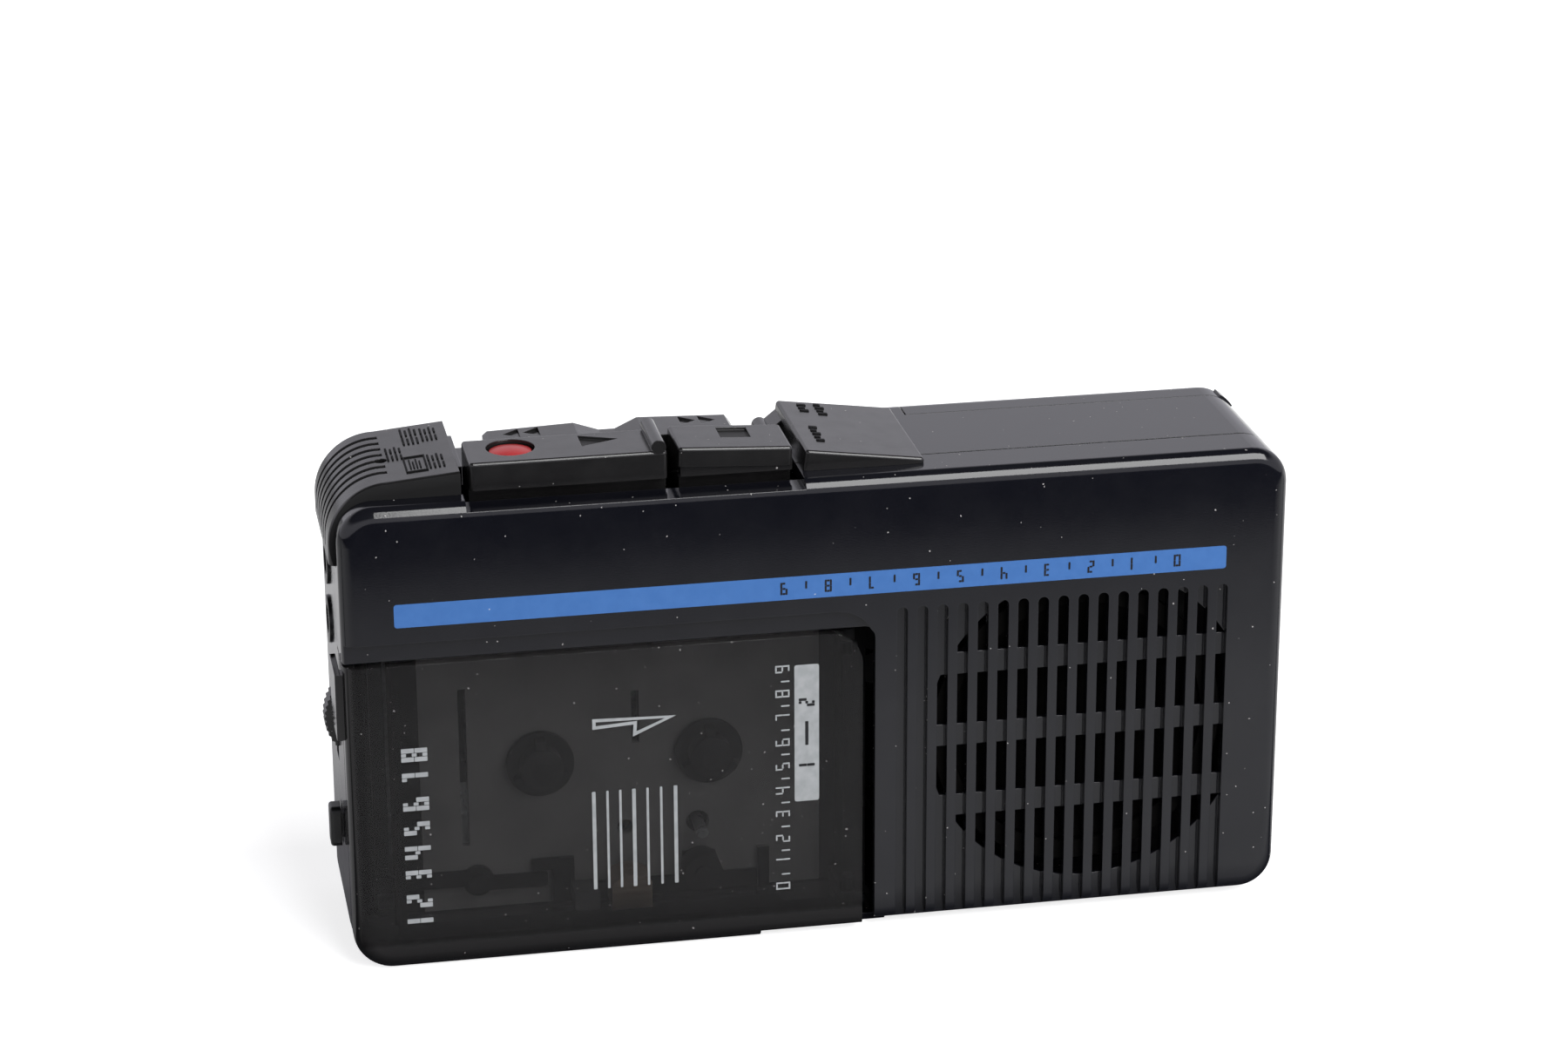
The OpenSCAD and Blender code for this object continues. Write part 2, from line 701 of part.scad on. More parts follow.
module mic_cap() color("#2a2c2f") placed() difference() {
  sheet([cap_front, cap_back]) intersection() {
    cap_outline(0);
    translate([-big, cap_low]) square([2 * big, big]);
  }
  sheet([cap_front + cap_wall, cap_back - cap_wall]) {
    cap_outline(cap_wall);
    translate([cap_wall - cap_proud, cap_low - 1]) square([cap_right - 2 * cap_wall + cap_proud, 4]);
  }
  for (k = [0:cap_slots - 1]) {
    d = slot_front + k * slot_pitch;
    sheet([d - 0.45, d + 0.45]) intersection() {
      difference() {
        translate([-big, -big]) square(2 * big);
        cap_outline(0.9);
      }
      translate([-5, cap_low + 1.2]) square([5 + 7, 40]);
    }
  }
  cap_edge_cut();
  up_rod(6.6, [top_y - 2, big], slot_front + 2 * slot_pitch, 0.8);
  span([cap_right - 3, cap_right + 1], [0, key_low + 0.4], [bridge_front - 0.6, tray_front + 0.2]);
}

module mic_capsule() color("silver") placed() {
  rod(6.8, top_y - 3.8, [cap_front + cap_wall, bridge_front - 0.5], 2.8);
}

// Sloped block with rounded edges, and the gusset on its left that ends in a round bead
module thumb_rest() color("#26282b") placed() {
  difference() {
    translate([rest_x, top_y + rest_rise, 0]) rotate([0, 0, -rest_tilt])
      top_block([0, rest_l], [rest_front, rest_back], [-4, 0], key_corner, key_edge);
    span([0, case_l], [0, top_y], [0, case_t]);
  }
  sheet([lever_back - 2, rest_back - 0.3]) {
    polygon([[rest_x - 2.4, shelf_y], [rest_x - 2.4, top_y - 0.3], [rest_x + 0.3, top_y + rest_rise - 0.8],
             [rest_x + 0.3, top_y], [rest_x - 1.5 * slip, top_y], [rest_x - 1.5 * slip, shelf_y]]);
    translate([rest_x - 2.2, top_y - 0.4]) circle(1);
  }
}

// What is set back below a key's front face, down in the well
module key_skirt(x, l) span([x - 1, x + l + 1], [0, skirt_y], [0, key_front + 1.6]);

module play_key() color("#2b2d30") placed() difference() {
  union() {
    top_block([play_x, play_x + play_l], [key_front, key_front + key_w],
              [key_low, top_y + key_rise], key_corner, key_edge);
    rod(play_x + play_l - ridge_r - 0.15, top_y + key_rise + 0.55, [key_front, key_front + key_w], ridge_r);
    span([play_x + play_l - 1.8 * ridge_r - 0.15, play_x + play_l - 0.2 * ridge_r - 0.15],
         [top_y + key_rise - 1.5, top_y + key_rise + 0.55], [key_front + 0.3, key_front + key_w - 0.3]);
    up_rod(play_stem_x, [guide_low - 1.5, key_low + 1], stem_depth, stem_r);
  }
  up_rod(record_x, [record_floor, big], stem_depth, record_r + slip * 2);
  up_rod(record_x, [0, big], stem_depth, spindle_r + run);
  key_skirt(play_x, play_l);
  translate([0, top_y + key_rise - 0.35, 0]) rotate([-90, 0, 0]) linear_extrude(2)
    polygon([[play_mark_x, -at(mark_depth - 2)], [play_mark_x, -at(mark_depth + 2)],
             [play_mark_x + 4.7, -at(mark_depth)]]);
}

module play_pushrod() color("#8d9196") placed() {
  span([rod_x - 0.9, play_x + 2], [key_low - 1.8, key_low], [bridge_front - 0.2, tray_front - 0.3]);
  span([rod_x - 0.9, rod_x + 0.9], [rocker_y + 1.75, key_low - 1.7],
       [bridge_front - 0.2, tray_front - 0.3]);
}

// Rocker whose long end the push rod presses and whose short end lifts the bridge
module play_rocker() color("#9aa0a6") placed() difference() {
  union() {
    span([rod_x - 1, rocker_x], [rocker_y - 0.6, rocker_y + 1.4], [bridge_front, bridge_back]);
    span([rocker_x, rocker_x + rocker_short + 0.8], [rocker_y - 1.4, rocker_y + 0.4],
         [bridge_front, bridge_back]);
    rod(rocker_x, rocker_y, [bridge_front, bridge_back], rocker_h);
  }
  rod(rocker_x, rocker_y, [0, case_t], 0.7 + run);
}

module rocker_pin() color("silver") placed() {
  rod(rocker_x, rocker_y, [bridge_front - 0.8, tray_front + 0.6], 0.7);
  rod(rocker_x, rocker_y, [bridge_front - 1.1, bridge_front - 0.3], 1.3);
}

module record_button() color("#c8443f") placed() {
  up_rod(record_x, [record_floor + record_travel + 0.1, button_y], stem_depth, record_r);
  up_rod(record_x, [key_low - 2.6, record_floor + record_travel + 0.2], stem_depth, spindle_r);
  up_rod(record_x, [key_low - 2.6, key_low - 1.9], stem_depth, 1.6);
  intersection() {
    translate([record_x, button_y - 9.6, at(stem_depth)]) sphere(r = 10, $fn = 96);
    up_rod(record_x, [button_y - 0.1, big], stem_depth, record_r);
  }
}

module stop_key() color("#2b2d30") placed() difference() {
  union() {
    translate([stop_x, top_y + key_rise + 0.25, 0]) rotate([0, 0, -3]) translate([-stop_x, -top_y, 0])
      top_block([stop_x, stop_x + stop_l - 0.2], [key_front, key_front + key_w],
                [top_y - 2.4, top_y], key_corner, key_edge);
    span([stop_x + 0.2, stop_x + stop_l - 0.3], [key_low, top_y + key_rise - 1.6],
         [key_front + 0.2, key_front + key_w - 0.2]);
    up_rod(stop_stem_x, [guide_low - 1.5, key_low + 1], stem_depth, stem_r);
  }
  key_skirt(stop_x, stop_l);
  translate([stop_x, top_y + key_rise + 0.25, 0]) rotate([0, 0, -3])
    span([5.8, 9.6], [-0.35, 2], [mark_depth - 1.9, mark_depth + 1.9]);
}

// Rocking outline of the cue lever, with a thumb valley in the middle and a foot under the shelf
module cue_lever() color("#2a2c2f") placed() difference() {
  union() {
    sheet([lever_front, lever_back])
      polygon([[lever_x, shelf_y + slip], [lever_x, lever_base + 1.6], [lever_x + 0.6, lever_base + 2.1],
               [lever_mid - 4.2, lever_base + 2.5], [lever_mid - 1, lever_base + 1.4],
               [lever_mid + 1, lever_base + 1.4], [lever_mid + 3.8, lever_base + 2.7],
               [lever_end - 0.7, lever_base + 2.3], [lever_end, lever_base + 1.4],
               [lever_end, shelf_y + slip]]);
    span([lever_mid - 1.7, lever_mid + 1.7], [shelf_y - shelf_t - 1.8, shelf_y + slip + eps],
         [lever_front + 2.4, lever_back - 2.4]);
    span([lever_mid - 3.2, lever_mid + 3.2], [shelf_y - shelf_t - 1.8, shelf_y - shelf_t - slip],
         [lever_front + 1, lever_back - 1]);
  }
  for (x = [lever_x + 2.4, lever_x + 4.9]) double_mark(x, lever_base + 1.95, -1);
  for (x = [lever_end - 6.7, lever_end - 4.2]) double_mark(x, lever_base + 2.2, 1);
}

// One arrow head let into the lever, pointing left or right
module double_mark(x, y, way) {
  translate([x + 1, y, 0]) rotate([-90, 0, 0]) linear_extrude(2)
    polygon([[-way, -at(lever_back - 3.5)], [-way, -at(lever_back - 0.3)],
             [way, -at(lever_back - 1.9)]]);
}

module key_guide() color("#3a3c3e") placed() difference() {
  span([play_x + 3.2, well_end - 0.6], [guide_low, guide_high], [key_front + 0.4, chassis_front]);
  up_rod(play_stem_x, [0, big], stem_depth, stem_r + run);
  up_rod(stop_stem_x, [0, big], stem_depth, stem_r + run);
  up_rod(record_x, [0, big], stem_depth, 2);
}

module key_spring(x) color("silver") placed() {
  translate([x, guide_high + 0.03, at(stem_depth)]) rotate([-90, 0, 0])
    coil(spring_len - 0.06, spring_r, spring_r, spring_wire, spring_curls);
}

module play_spring() key_spring(play_stem_x);

module stop_spring() key_spring(stop_stem_x);

module volume_wheel() color("#202225") placed() {
  sheet([wheel_front, wheel_front + wheel_t]) translate([wheel_x, wheel_y])
    polygon([for (k = [0:95]) (wheel_r - (k % 2) * 0.25) * [cos(k * 3.75), sin(k * 3.75)]]);
  rod(wheel_x, wheel_y, [wheel_front + wheel_t - eps, pot_front + 2.6], 1.2);
}

module volume_pot() color("#5b6f4a") placed() difference() {
  rod(wheel_x, wheel_y, [pot_front, board_front], wheel_x - wall - slip);
  rod(wheel_x, wheel_y, [pot_front - 1, pot_front + 2.8], 1.2 + run);
}

module speed_knob() color("#141517") placed() {
  translate([-wheel_proud, speed_y - speed_l / 2, at(speed_depth + 1.5)]) rotate([90, 0, 90])
    slab(speed_l, 3, wheel_proud - slip, 0.7, 0.4, 0);
  span([-slip - eps, wall + 1.2], [speed_y - 1.6, speed_y + 1.6], [speed_depth - 0.8, speed_depth + 0.8]);
}

module speed_switch() color("#77797c") placed() difference() {
  span([wall, wall + switch_l], [speed_y - 5.6, speed_y + 5.6], [speed_depth - 2.2, speed_depth + 2.2]);
  span([0, wall + 1.4], [speed_y - 1.6 - speed_travel - slip, speed_y + 1.6 + speed_travel + slip],
       [speed_depth - 1, speed_depth + 1]);
}

module jack(y) difference() {
  union() {
    cross_rod([-0.3, wall + 1], y, jack_depth, 3);
    span([wall, jack_l + 1.4], [y - jack_half, y + jack_half], [jack_depth - jack_half, board_front]);
  }
  cross_rod([-1, jack_l - 0.3], y, jack_depth, jack_r);
}

module ear_jack() color("#2e3033") placed() jack(jack_ys[0]);

module mic_jack() color("#2e3033") placed() jack(jack_ys[1]);

module bay_tray() color("#26282a") placed() difference() {
  union() {
    span([wall + 4.4, opening_x - slip], [inner_low + 0.2, door_h + 0.4], [tray_front, chassis_front]);
    span([wall + 4.4, wall + 5.4], [inner_low + 0.2, door_h + 0.4], [door_wall * 2 + 0.6, chassis_front]);
    span([wall + 4.4, hinge_x + 0.9], [door_h - 0.8, door_h + 0.4], [hinge_depth + 2, chassis_front]);
    span([hinge_x - 0.2, hinge_x + 0.9], [inner_low + 0.2, door_h + 0.4], [hinge_depth + 2, chassis_front]);
    span([hinge_x - 0.2, opening_x - slip], [inner_low + 0.2, door_h + 0.4],
         [hinge_depth + 2, hinge_depth + 2.8]);
    for (y = [low_ear_y - 0.1 - ear_t, high_ear_y + ear_t + 0.1]) {
      up_rod(hinge_x, [y, y + ear_t], hinge_depth, 0.95);
      span([hinge_x - 0.9, hinge_x + 0.9], [y, y + ear_t], [hinge_depth, chassis_front]);
    }
    span([takeup_x + 6.2, takeup_x + 7.6], [inner_low + 0.2, bridge_high + 3], [bridge_front, tray_front]);
  }
  for (y = [low_ear_y - 2.6, high_ear_y + ear_t])
    up_rod(hinge_x, [y, y + 2.6], hinge_depth, hinge_pin_r + press);
  for (x = [supply_x, takeup_x]) rod(x, reel_y, [0, case_t], 1.7);
  rod(capstan_x, capstan_y, [0, case_t], capstan_r + 0.7);
  rod(rocker_x, rocker_y, [0, tray_front + 0.6], 0.7 + press);
  span([wall + 4, wall + 6], [0, rocker_y + 3], [bridge_front - 0.6, tray_front - eps]);
  bay_slits();
  for (p = case_screws_at) rod(p[0], p[1], [0, case_t], boss_r + slip);
}

// Slits and sensing hole through the floor of the bay
module bay_slits() {
  span([bay_x - 20.7, bay_x - 19.75], [reel_y - 10.8, reel_y + 10.5], [0, case_t]);
  span([bay_x + 1.05, bay_x + 2], [reel_y + 1.5, reel_y + 8.6], [0, case_t]);
  rod(bay_x, capstan_y, [0, case_t], 1);
}

module chassis_plate() color("#a9adb1") placed() difference() {
  span([wall + 2.4, idler_at[0] + 9.4], [inner_low + 0.6, guide_high], [chassis_front, chassis_back]);
  bay_slits();
  for (x = [supply_x, takeup_x]) rod(x, reel_y, [0, case_t], 1.9 + press);
  rod(capstan_x, capstan_y, [0, case_t], 2.2 + press);
  rod(idler_at[0], idler_at[1], [0, case_t], 0.9 + press);
  for (p = case_screws_at) rod(p[0], p[1], [0, case_t], boss_r + slip);
  for (p = chassis_screws_at) rod(p[0], p[1], [0, case_t], 1);
}

module chassis_screws() color("silver") placed() for (p = chassis_screws_at) {
  rod(p[0], p[1], [chassis_front, chassis_back + 5], 0.8);
}

module spindle_bushes() color("#b08d57") placed() for (x = [supply_x, takeup_x]) difference() {
  rod(x, reel_y, [chassis_front, chassis_back + 0.3], 1.9);
  rod(x, reel_y, [0, case_t], spindle_r + run);
}

// Reel spindle with three drive fins and a pointed tip
module spindle(x) {
  tip = tray_front - spindle_reach;
  rod(x, reel_y, [tray_front - 1, tray_front - 0.3], 4.3);
  rod(x, reel_y, [tip + 0.8, tray_front - 0.9], 2.7);
  translate([x, reel_y, at(tip + 0.8)]) cylinder(r1 = 2.7, r2 = 1.3, h = 0.8);
  for (k = [0:2]) translate([x, reel_y, at(tray_front - 0.9)]) rotate([0, 0, 90 + 120 * k])
    translate([1.5, -0.6, 0]) cube([2.2, 1.2, spindle_reach - 2.2]);
  rod(x, reel_y, [tray_front - 0.4, gear_back + 0.3], spindle_r);
}

module supply_spindle() color("#303235") placed() spindle(supply_x);

module takeup_spindle() color("#303235") placed() spindle(takeup_x);

module supply_gear() color("#d8d6cc") placed() gear(supply_x, reel_y, 0, reel_teeth, spindle_r + press);

module takeup_gear() color("#d8d6cc") placed()
  gear(takeup_x, reel_y, takeup_phase, reel_teeth, spindle_r + press);

module idler_gear() color("#e4e2d8") placed()
  gear(idler_at[0], idler_at[1], idler_phase, idler_teeth, 0.9 + run);

module idler_post() color("silver") placed() {
  rod(idler_at[0], idler_at[1], [chassis_front, gear_back + 0.8], 0.9);
  rod(idler_at[0], idler_at[1], [gear_back + 0.3, gear_back + 0.8], 1.6);
}

module capstan_shaft() color("#d4d7da") placed() {
  rod(capstan_x, capstan_y, [tray_front - spindle_reach + 0.1, bracket_back], capstan_r);
}

module capstan_bearing() color("#b08d57") placed() difference() {
  rod(capstan_x, capstan_y, [chassis_front, chassis_back + 0.3], 2.2);
  rod(capstan_x, capstan_y, [0, case_t], capstan_r + run);
}

module capstan_pinion() color("#d8d6cc") placed()
  gear(capstan_x, capstan_y, 0, pinion_teeth, capstan_r + press);

// Disc with a belt groove in its rim
module grooved_wheel(x, y, r, half_t, bore) {
  translate([x, y, at(wheel_line)]) rotate_extrude() difference() {
    translate([bore, -half_t]) square([r - bore, 2 * half_t]);
    translate([r - groove_in, -belt_w / 2 - 0.2]) square([r, belt_w + 0.4]);
  }
}

module flywheel() color("#b9a06a") placed()
  grooved_wheel(capstan_x, capstan_y, flywheel_r, 1.4, capstan_r + press);

module flywheel_bracket() color("#a9adb1") placed() difference() {
  span([capstan_x - bracket_w / 2, capstan_x + bracket_w / 2],
       [bracket_ys[0] - 1, bracket_ys[1] + 2.4], [bracket_front, bracket_back]);
  rod(capstan_x, capstan_y, [0, case_t], capstan_r + run);
}

module motor() color("#b7babd") placed() difference() {
  union() {
    rod(motor_x, motor_y, [chassis_back, motor_back - 0.6], motor_r);
    rod(motor_x, motor_y, [motor_back - 0.7, motor_back], 3.4);
  }
  rod(motor_x, motor_y, [motor_back - 4, motor_back + 1], capstan_r + run);
}

module motor_shaft() color("silver") placed()
  rod(motor_x, motor_y, [motor_back - 3.8, wheel_line + 1.6], capstan_r);

module motor_pulley() color("#b08d57") placed()
  grooved_wheel(motor_x, motor_y, pulley_r, 1.2, capstan_r + press);

module drive_belt() color("#17181a") placed()
  sheet([wheel_line - belt_w / 2, wheel_line + belt_w / 2])
    band_outline([capstan_x, capstan_y], flywheel_r - groove_in + run,
                 [motor_x, motor_y], pulley_r - groove_in + run, belt_w);

module head_bridge() color("#9aa0a6") placed() difference() {
  union() {
    span([supply_x + 2, takeup_x + 6], [bridge_low, bridge_high], [bridge_front, bridge_back]);
    span([rocker_x + rocker_short - 1.2, supply_x + 4], [rocker_y + 0.75, rocker_y + 2.2],
         [bridge_front, bridge_back]);
    span([rocker_x + rocker_short + 1.4, supply_x + 4], [bridge_low, rocker_y + 2.1],
         [bridge_front, bridge_back]);
    span([capstan_x - 2.1, capstan_x + 2.1], [bridge_low, roller_y + 1.4], [bridge_front, bridge_back]);
  }
  rod(capstan_x, roller_y, [0, case_t], roller_pin_r + press);
}

module tape_head() color("#8a7357") placed() intersection() {
  rod(bay_x, bridge_low + 1.5, [door_wall + 3, bridge_front], 3.4);
  span([bay_x - 2.55, bay_x + 2.55], [bridge_low + 0.3, big], [0, case_t]);
}

module erase_head() color("#4d4f52") placed() {
  span([bay_x - 7.2, bay_x - 4], [bridge_low + 0.3, bridge_low + 2.8], [door_wall + 3.6, bridge_front]);
}

module pinch_roller() color("#141517") placed() difference() {
  rod(capstan_x, roller_y, [bridge_front - 3.6, bridge_front - 0.3], roller_r);
  rod(capstan_x, roller_y, [0, case_t], roller_pin_r + run);
}

module pinch_pin() color("silver") placed() {
  rod(capstan_x, roller_y, [bridge_front - 4.2, bridge_back], roller_pin_r);
  rod(capstan_x, roller_y, [bridge_front - 4.2, bridge_front - 3.8], 1.2);
}

module circuit_board() color("#3f6b45") placed() difference() {
  span([wall + 1.4, board_right], [board_low, board_high], [board_front, board_back]);
  for (p = case_screws_at) rod(p[0], p[1], [0, case_t], boss_r + slip);
  for (p = chassis_screws_at) rod(p[0], p[1], [0, case_t], 2 + slip);
}

// Capacitors in two pairs, two amplifier chips and a trimmer
module board_components() color("#1a1b1d") placed() {
  for (k = [0:1]) for (n = [0:1])
    rod(board_right - can_pitch * (k + 0.75), board_low + can_pitch * (n + 0.85),
        [board_front - can_h, board_front], can_r);
  for (k = [0:1]) {
    x = takeup_x - chip_l / 2 - k * (chip_l + 4);
    span([x, x + chip_l], [board_high - 2.6 - chip_w, board_high - 2.6], [board_front - 1.8, board_front]);
  }
  span([board_right - 8, board_right - 1.4], [board_low + 12, board_low + 17],
       [board_front - 2.2, board_front]);
}

module speaker_frame() color("#9a9da1") placed() translate([speaker_x, speaker_y, at(wall)])
  rotate([180, 0, 0]) rotate_extrude() {
    translate([speaker_r - 2.4, 0]) square([2.4, 1.6]);
    polygon([[speaker_r - 1.2, 1.5], [speaker_r - 0.2, 1.5], [magnet_r + 0.2, cone_back - wall],
             [magnet_r - 1, cone_back - wall]]);
    translate([3, cone_back - wall - 0.4]) square([magnet_r - 2.6, 0.8]);
  }

module speaker_cone() color("#4b4740") placed() translate([speaker_x, speaker_y, at(wall)])
  rotate([180, 0, 0]) rotate_extrude() {
    polygon([[0, 2.6], [4.4, 3.4], [speaker_r - 3, 0.8], [speaker_r - 2.5, 0.8],
             [speaker_r - 2.5, 1.2], [speaker_r - 3, 1.2], [4.6, 3.8], [0, 3]]);
  }

module speaker_magnet() color("#55585b") placed()
  rod(speaker_x, speaker_y, [cone_back + 0.4, magnet_back], magnet_r);

// Coil contacts at the foot of the battery bay, one per cell
module battery_springs() color("silver") placed() for (k = [0:1]) {
  x = cells_x + 0.4 + cell_d * (k + 0.5);
  span([x - 5, x + 5], [inner_low, inner_low + 0.4], [cell_front + 2, cell_back - 4]);
  translate([x, inner_low + 0.35, at(cell_front + cell_d / 2)]) rotate([-90, 0, 0])
    coil(3.4, 4.2, 2.6, 0.3, 3);
}

module battery_plates() color("silver") placed() for (k = [0:1]) {
  x = cells_x + 0.4 + cell_d * (k + 0.5);
  span([x - 5, x + 5], [inner_high - 0.4, inner_high], [cell_front + 2, cell_back - 5]);
  up_rod(x, [inner_high - 1.4, inner_high - 0.3], cell_front + cell_d / 2, 2.4);
}

module case_screws() color("#8d9196") placed() for (p = case_screws_at) difference() {
  union() {
    rod(p[0], p[1], [seam_depth - 3.5, head_seat + eps], screw_r);
    rod(p[0], p[1], [head_seat, head_seat + 1.3], head_r);
  }
  for (turn = [0, 90]) translate([p[0], p[1], at(head_seat + 1.3)]) rotate([0, 0, turn])
    translate([-1.4, -0.3, -1]) cube([2.8, 0.6, 1.7]);
}

front_case();
back_case();
battery_cover();
cassette_door();
hinge_pins();
mic_cap();
mic_capsule();
thumb_rest();
play_key();
play_pushrod();
play_rocker();
rocker_pin();
record_button();
stop_key();
cue_lever();
key_guide();
play_spring();
stop_spring();
volume_wheel();
volume_pot();
speed_knob();
speed_switch();
ear_jack();
mic_jack();
bay_tray();
chassis_plate();
chassis_screws();
spindle_bushes();
supply_spindle();
takeup_spindle();
supply_gear();
takeup_gear();
idler_gear();
idler_post();
capstan_shaft();
capstan_bearing();
capstan_pinion();
flywheel();
flywheel_bracket();
motor();
motor_shaft();
motor_pulley();
drive_belt();
head_bridge();
tape_head();
erase_head();
pinch_roller();
pinch_pin();
circuit_board();
board_components();
speaker_frame();
speaker_cone();
speaker_magnet();
battery_box();
battery_springs();
battery_plates();
case_screws();
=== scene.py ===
import json
import math

import bmesh
import bpy
from mathutils import Matrix, Vector


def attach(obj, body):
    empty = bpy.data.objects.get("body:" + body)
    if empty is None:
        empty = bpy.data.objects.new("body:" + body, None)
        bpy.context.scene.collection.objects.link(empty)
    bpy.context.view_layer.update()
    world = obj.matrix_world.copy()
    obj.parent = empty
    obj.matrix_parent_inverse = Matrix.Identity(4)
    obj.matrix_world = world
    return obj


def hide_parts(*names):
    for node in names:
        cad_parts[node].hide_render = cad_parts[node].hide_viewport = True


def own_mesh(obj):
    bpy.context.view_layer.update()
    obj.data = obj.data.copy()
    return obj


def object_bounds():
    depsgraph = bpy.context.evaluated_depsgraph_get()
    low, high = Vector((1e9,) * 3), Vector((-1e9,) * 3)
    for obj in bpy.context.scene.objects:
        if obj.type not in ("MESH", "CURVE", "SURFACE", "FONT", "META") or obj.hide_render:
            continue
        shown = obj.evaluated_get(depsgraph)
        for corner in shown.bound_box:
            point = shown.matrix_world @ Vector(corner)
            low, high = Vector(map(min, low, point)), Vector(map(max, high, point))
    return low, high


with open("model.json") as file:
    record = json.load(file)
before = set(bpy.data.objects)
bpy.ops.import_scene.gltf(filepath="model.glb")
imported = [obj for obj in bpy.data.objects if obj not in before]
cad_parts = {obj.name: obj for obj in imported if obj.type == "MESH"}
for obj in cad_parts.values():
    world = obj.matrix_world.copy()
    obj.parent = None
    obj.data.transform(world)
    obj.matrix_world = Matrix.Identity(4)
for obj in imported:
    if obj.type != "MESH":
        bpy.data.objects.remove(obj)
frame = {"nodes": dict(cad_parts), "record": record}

MM = 0.001
cad_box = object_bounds()
nodes = frame["nodes"]

# Prints on the front face; all places on the object are in millimetres of the row frame
FACE_Y = cad_box[0].y / MM
PRINT_T = 0.03
PRINT_SINK = 0.005
PRINT_Y = FACE_Y + PRINT_SINK
OVERPRINT_Y = PRINT_Y - PRINT_T
STRIPE_X = (-51.8, 51.9)
STRIPE_Z = (45.6, 48.6)
STRIPE_ROUND = 0.35
STRIPE_SCALE_X = (-4.6, 46.0)
STRIPE_SCALE_Z = (46.3, 47.9)
STRIPE_SCALE_STROKE = 0.24
ARROW = ((-28.1, 31.8), (-17.7, 31.5), (-23.1, 29.1), (-23.0, 30.7), (-28.1, 30.4))
ARROW_STROKE = 0.42
MITRE_LEAST = 0.3
LINES_X = (-28.1, -26.4, -24.8, -23.1, -21.4, -19.7, -17.9)
LINES_Z = (8.9, 22.1)
# Half the widths of the lines, in turn
LINE_HALVES = (0.23, 0.15, 0.15)
SCALE_X = (-5.3, -3.5)
SCALE_Z = (6.7, 37.0)
SCALE_STROKE = 0.2
BOLD_X = (-51.6, -48.4)
BOLD_Z = (5.2, 29.8)
BOLD_STROKE = 0.6
PLATE_X = (-2.9, 0.2)
PLATE_Z = (18.6, 36.9)
PLATE_ROUND = 0.3
# On the plate: inset of the numerals, each digit's place from the middle, their height and stroke, the dash
PLATE_INSET = 0.55
PLATE_DIGITS = ((1, -5.2), (2, 3.6))
PLATE_DIGIT_SIZE = (2.0, 0.34)
PLATE_DASH = ((-1.2, -0.8), (-1.6, 1.6))

# Bars lit in each plain numeral
NUMERAL_BARS = ("abcdef", "bc", "abged", "abgcd", "fgbc", "afgcd", "afgedc", "abc", "abcdefg", "abcdfg")
# Shares of a numeral's height: its width, and the height and the shift of a tick
NUMERAL_WIDTH = 0.55
TICK_HEIGHT = 0.6
TICK_SHIFT = 0.27
# Share of a stroke that stays open between two bars, and the radius of a bar's corners
BAR_GAP = 0.12
BAR_ROUND = 0.06

# Tops that carry raised marks: a place on the top, its height and its slope along x
CAP_TOP = (-51.5, 62.5, 0.092)
REST_TOP = (-0.6, 63.35, -0.1334)
MARK_LIFT = 0.15
MARK_SINK = 0.1
# Boxes (x, y) that the marks fill in place of words; on the thumb rest with the number of bars
CAP_WORDS = (((-48.4, -46.1), (3.3, 9.0)), ((-46.0, -43.8), (3.8, 8.3)), ((-50.8, -48.6), (-1.6, 2.8)),
             ((-46.1, -43.9), (-6.4, -1.7)))
CAP_WORD_HALF_GAP = 0.3
CAP_STROKES = 4
CAP_FRAME = ((-49.0, -46.3), (-6.9, -1.4))
CAP_FRAME_EDGE = 0.22
CAP_FRAME_FILL = ((-48.4, -46.8), (-5.7, -2.6))
REST_WORDS = (((1.8, 2.9), (5.8, 9.1), 3), ((4.0, 5.1), (4.9, 9.5), 4), ((1.6, 2.6), (-5.9, 0.3), 5))
# Share of a step that a mark takes up, and how much shorter every second mark is
STROKE_SHARE = 0.45
STROKE_SHORT_SHARE = 0.25
REST_BAR_SHARE = 0.5
REST_BAR_SHORT = 0.3

# Round corner of the microphone cap, the depth of skin in which its slots get no painted shade, and the
# slots
CAP_AXIS = (-51.5, 55.0)
CAP_RADIUS = 7.5
CAP_SKIN = 0.15
SLOT_Y = -5.5
SLOT_PITCH = 2.17
SLOT_HALF = 0.47
# Keys: the floors of the let-in marks, where shade is painted, for the stop key with slope and start along
# x
PLAY_MARK_Z = 63.95
STOP_MARK = (64.2, -0.0524, -16.2)
MARK_FLOOR_T = 0.03
MARK_SHADE = 0.5
# Stretches over which the door clears from opaque, and the floor of the bay that shows through it, outside
# which shade is painted
DOOR_RIM_Z = (3.2, 4.4)
DOOR_RIM_X = (-57.4, -56.6)
DECK_X = (-48.5, 2.2)
DECK_Y = -4.6

# Specks: cell size in millimetres, and the largest radius as a share of the cell
DUST = (1.3, 0.09)
LINT = (4.5, 0.035)
DOOR_DUST = (1.3, 0.10)
SCUFFS = (7.0, 0.03)
INK_DUST = (1.6, 0.07)
LINT_SHARE = 0.3
# Specks' stray as a share of a cell, its waves per cell, and the least radius as a share of the largest
SPECK_STRAY = 0.3
SPECK_WAVER = 2.2
SPECK_LEAST = 0.35
DUST_GREY = (0.34, 0.33, 0.32)
# Near black of the painted shade in slots, mark floors and the tray outside the bay floor
PAINTED_SHADE_BLACK = (0.0015, 0.0015, 0.0017)
# Radii of the eased edges, in millimetres
PLASTIC_EDGE = 0.15
METAL_EDGE = 0.08
# Stretches of a noise's values that a look is spread over
WIDE_SPAN = (0.3, 0.7)
NARROW_SPAN = (0.35, 0.65)

# Camera, fitted to the edges of the case; its roll is in degrees
CAMERA_AT = (-89.83, -466.11, 224.55)
CAMERA_TARGET = (-4.11, -14.0, 55.71)
CAMERA_ROLL = -0.237
CAMERA_LENS = 92.77
CAMERA_NEAR = 10.0
SENSOR_W = 36.0
